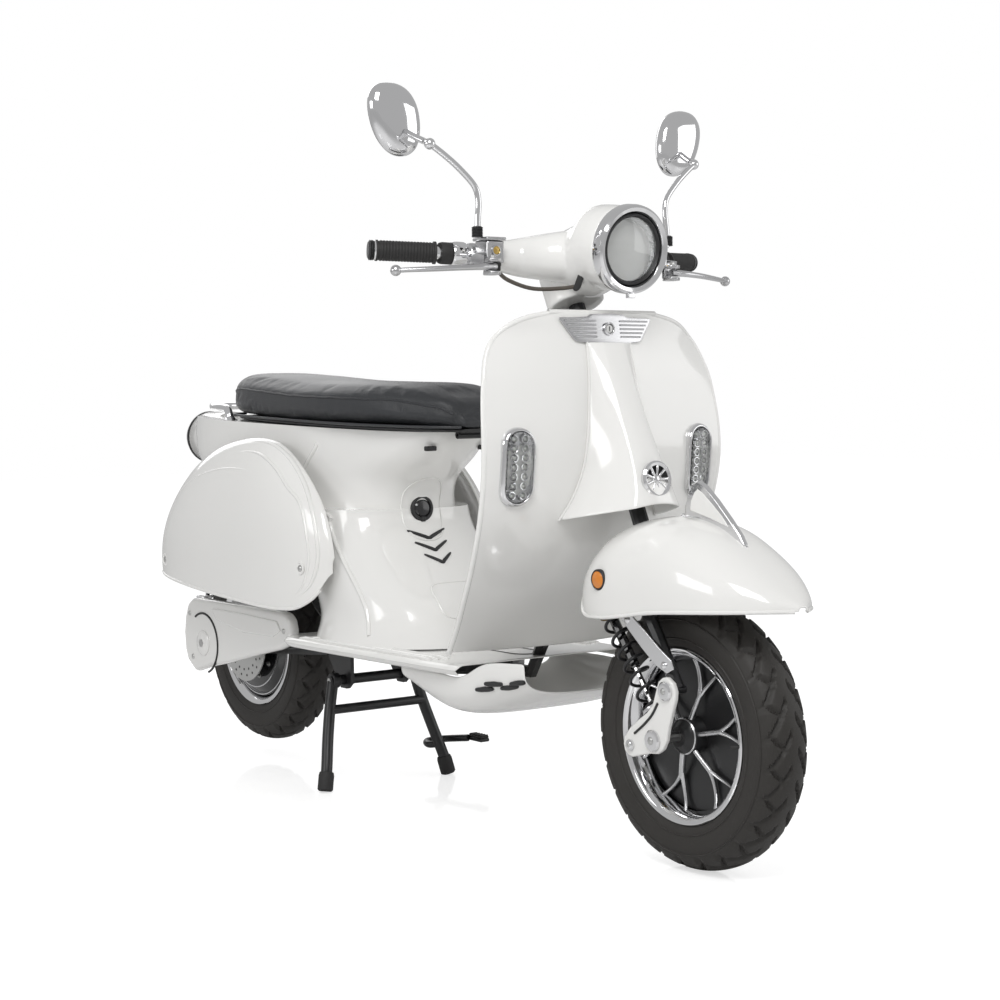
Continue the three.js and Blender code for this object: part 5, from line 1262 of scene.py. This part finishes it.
def suspension():
    def make(side, hand):
        shock("front_shock_" + hand, (-144, 70, 417), (-15, 70, 245), side, 2.7, 17.6, "front_shock_" + hand,
              "front_shock_spring_" + hand, BLACK)
        shock("rear_shock_" + hand, (-1368, 118, 512), (-1422, 118, 300), side, 3.2, 20, "rear_shock_" + hand,
              "rear_shock_spring_" + hand, CHROME)
        outline = [(32, 319), (22, 317), (12, 310), (5, 292), (-2, 272), (-16, 258), (-34, 246), (-56, 230), (-70, 214),
                   (-73, 202), (-70, 191), (-60, 184), (-50, 183), (-28, 189), (-8, 194), (10, 196), (22, 204), (31, 220),
                   (35, 240), (43, 264), (51, 286), (52, 298), (46, 311)]
        plate = slab("link_plate_" + hand, outline, side * 87.6, side * 9, PAINT, "front_link", bevel=2.6, segs=3)
        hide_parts("front_link_" + hand)
        for k, (x, z, r) in enumerate(((30, 297, 15), (0, 216, 17), (-54, 202, 9))):
            at = Vector((x, side * 96.8, z))
            turned("link_cap_%s_%d" % (hand, k), [(r, 0), (r, 3), (r - 2.5, 5.4), (r * 0.45, 6), (0, 5.2)], at, (0, side, 0),
                   CHROME, "front_link", n=48)
            dome("link_screw_%s_%d" % (hand, k), at + Vector((0, side * 5.6, 0)), (0, side, 0), r * 0.36, STEEL,
                 "front_link", tall=0.4)
        groove_pts = [(12, side * 97, 276), (-2, side * 97, 256), (-22, side * 97, 238), (-44, side * 97, 222)]
        tube("link_groove_" + hand, groove_pts, 2.2, PLASTIC, "front_link", steps=6, n=8)
    both(make)


def fork_covers():
    def make(side, hand):
        outline = [(36, 330), (20, 322), (-6, 332), (-40, 356), (-72, 382), (-92, 402), (-86, 414), (-66, 408), (-34, 386),
                   (0, 362), (30, 344)]
        slab("fork_cover_" + hand, outline, side * 82.5, side * 3, CHROME, "steering", bevel=1.2, segs=3)
        for k, (x, z) in enumerate(((14, 334), (-74, 398))):
            dome("fork_screw_%s_%d" % (hand, k), (x, side * 85.4, z), (0, side, 0), 6, CHROME, "steering")
    both(make)


# ---- swingarm cover and stand ----------------------------------------------------------------------------
def swing_cover():
    outline = [(-1000, 276), (-992, 300), (-1000, 326), (-1014, 335), (-1034, 338), (-1200, 338), (-1376, 338),
               (-1400, 335), (-1419, 324), (-1432, 296), (-1438, 262), (-1434, 226), (-1424, 204), (-1410, 195),
               (-1390, 182), (-1330, 198), (-1250, 214), (-1140, 240), (-1040, 262)]
    obj = slab("swing_cover_skin", outline, -140.6, -22, PAINT, "rear_swing", bevel=9, segs=5)
    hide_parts("swingarm_cover")
    wedge = [(-1030, 300), (-1044, 318), (-1190, 322), (-1310, 322), (-1290, 300), (-1180, 284), (-1060, 286)]
    slab("swing_wedge", wedge, -160, -6, PAINT, "rear_swing", bevel=2.6, segs=4)
    arc = [(-1350 + 62 * cos(rad(a)), -162.8, 246 + 62 * sin(rad(a))) for a in range(-70, 130, 8)]
    tube("swing_arc", arc, 2.4, PLASTIC, "rear_swing", steps=2, n=8)
    turned("axle_cap", [(26, 0), (26, 3), (22, 6), (0, 7)], (-1350, -161.6, 246), (0, -1, 0), PAINT, "rear_swing", n=48)
    bolt("axle_nut", (-1350, -163, 246), (0, -1, 0), 9, STEEL, "rear_swing", tall=0.4)
    for k, (x, z) in enumerate(((-1020, 300), (-1408, 304), (-1396, 214))):
        dome("swing_screw_%d" % k, (x, -162.4, z), (0, -1, 0), 5.5, STEEL, "rear_swing", tall=0.5)


def stand():
    at = Vector((-950, 0, 205))
    obj = tube("stand_shaft", [(-950, -103, 205), (-950, 103, 205)], 10, BLACK, "stand", straight=True, n=24)
    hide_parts("centre_stand")
    for side in (-1, 1):
        tag = "r" if side < 0 else "l"
        leg = [(-950, side * 95, 203), (-948, side * 99, 186), (-942, side * 108, 150), (-928, side * 122, 96),
               (-911, side * 136, 40), (-906, side * 143, 12)]
        tube("stand_leg_" + tag, leg, 11, BLACK, "stand", steps=8, n=22)
        turned("stand_boot_" + tag, [(12, 0), (15, 3), (15, 30), (13.6, 36), (12.2, 37)], (-904.6, side * 144.2, 1.5),
               (-0.16, -side * 0.22, 1), RUBBER, "stand", n=32)
        turned("stand_knuckle_" + tag, [(15, -8), (15, 8)], (-950, side * 92, 205), (0, side, 0), BLACK, "stand", n=28, bevel=2)
        bolt("stand_bolt_" + tag, (-950, side * 101, 205), (0, side, 0), 6, STEEL, "stand", tall=0.3)
    tube("stand_tie", [(-940, -108, 150), (-940, 0, 150), (-940, 108, 150)], 9, BLACK, "stand", steps=6, n=18)
    tube("stand_pedal_arm", [(-912, 134, 62), (-936, 120, 58), (-960, 132, 60), (-944, 158, 64), (-892, 184, 70)], 7,
         BLACK, "stand", steps=8, n=18)
    block("stand_pad", (-899, 187, 65), (-853, 209, 72), BLACK, "stand", bevel=2)
    block("stand_tread", (-898, 188, 72), (-854, 208, 76), RUBBER, "stand", bevel=1.5)
    for k in range(5):
        block("tread_bar_%d" % k, (-895 + 9 * k, 189, 75), (-891 + 9 * k, 207, 79), RUBBER, "stand", bevel=0.8)


tyre(FRONT_AXLE, "front_wheel", "front")
tyre(REAR_AXLE, "rear_wheel", "rear")
front_wheel()
rear_wheel()
drilled("front_rotor", FRONT_AXLE, 52, 74, "front_disc", "front_wheel")
drilled("rear_rotor", REAR_AXLE, -66, 88, "rear_disc", "rear_wheel")
suspension()
fork_covers()
swing_cover()
stand()


# ---- the CAD pieces that are shown as they are ------------------------------------------------------
def finish_cad():
    looks = {"frame": BLACK, "fork": BLACK, "battery_pack": PLASTIC, "seat_pan": PLASTIC, "swingarm": BLACK,
             "rear_caliper": SATIN, "rear_axle": STEEL, "front_axle": STEEL, "front_caliper": SATIN}
    for end in ("front", "rear"):
        for hand in ("right", "left"):
            looks["%s_shock_body_%s" % (end, hand)] = GLOSS_BLACK
            looks["%s_shock_rod_%s" % (end, hand)] = CHROME
    for name, mat in looks.items():
        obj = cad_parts[name]
        obj.data.materials.clear()
        obj.data.materials.append(mat)


camera()
stage()
finish_cad()
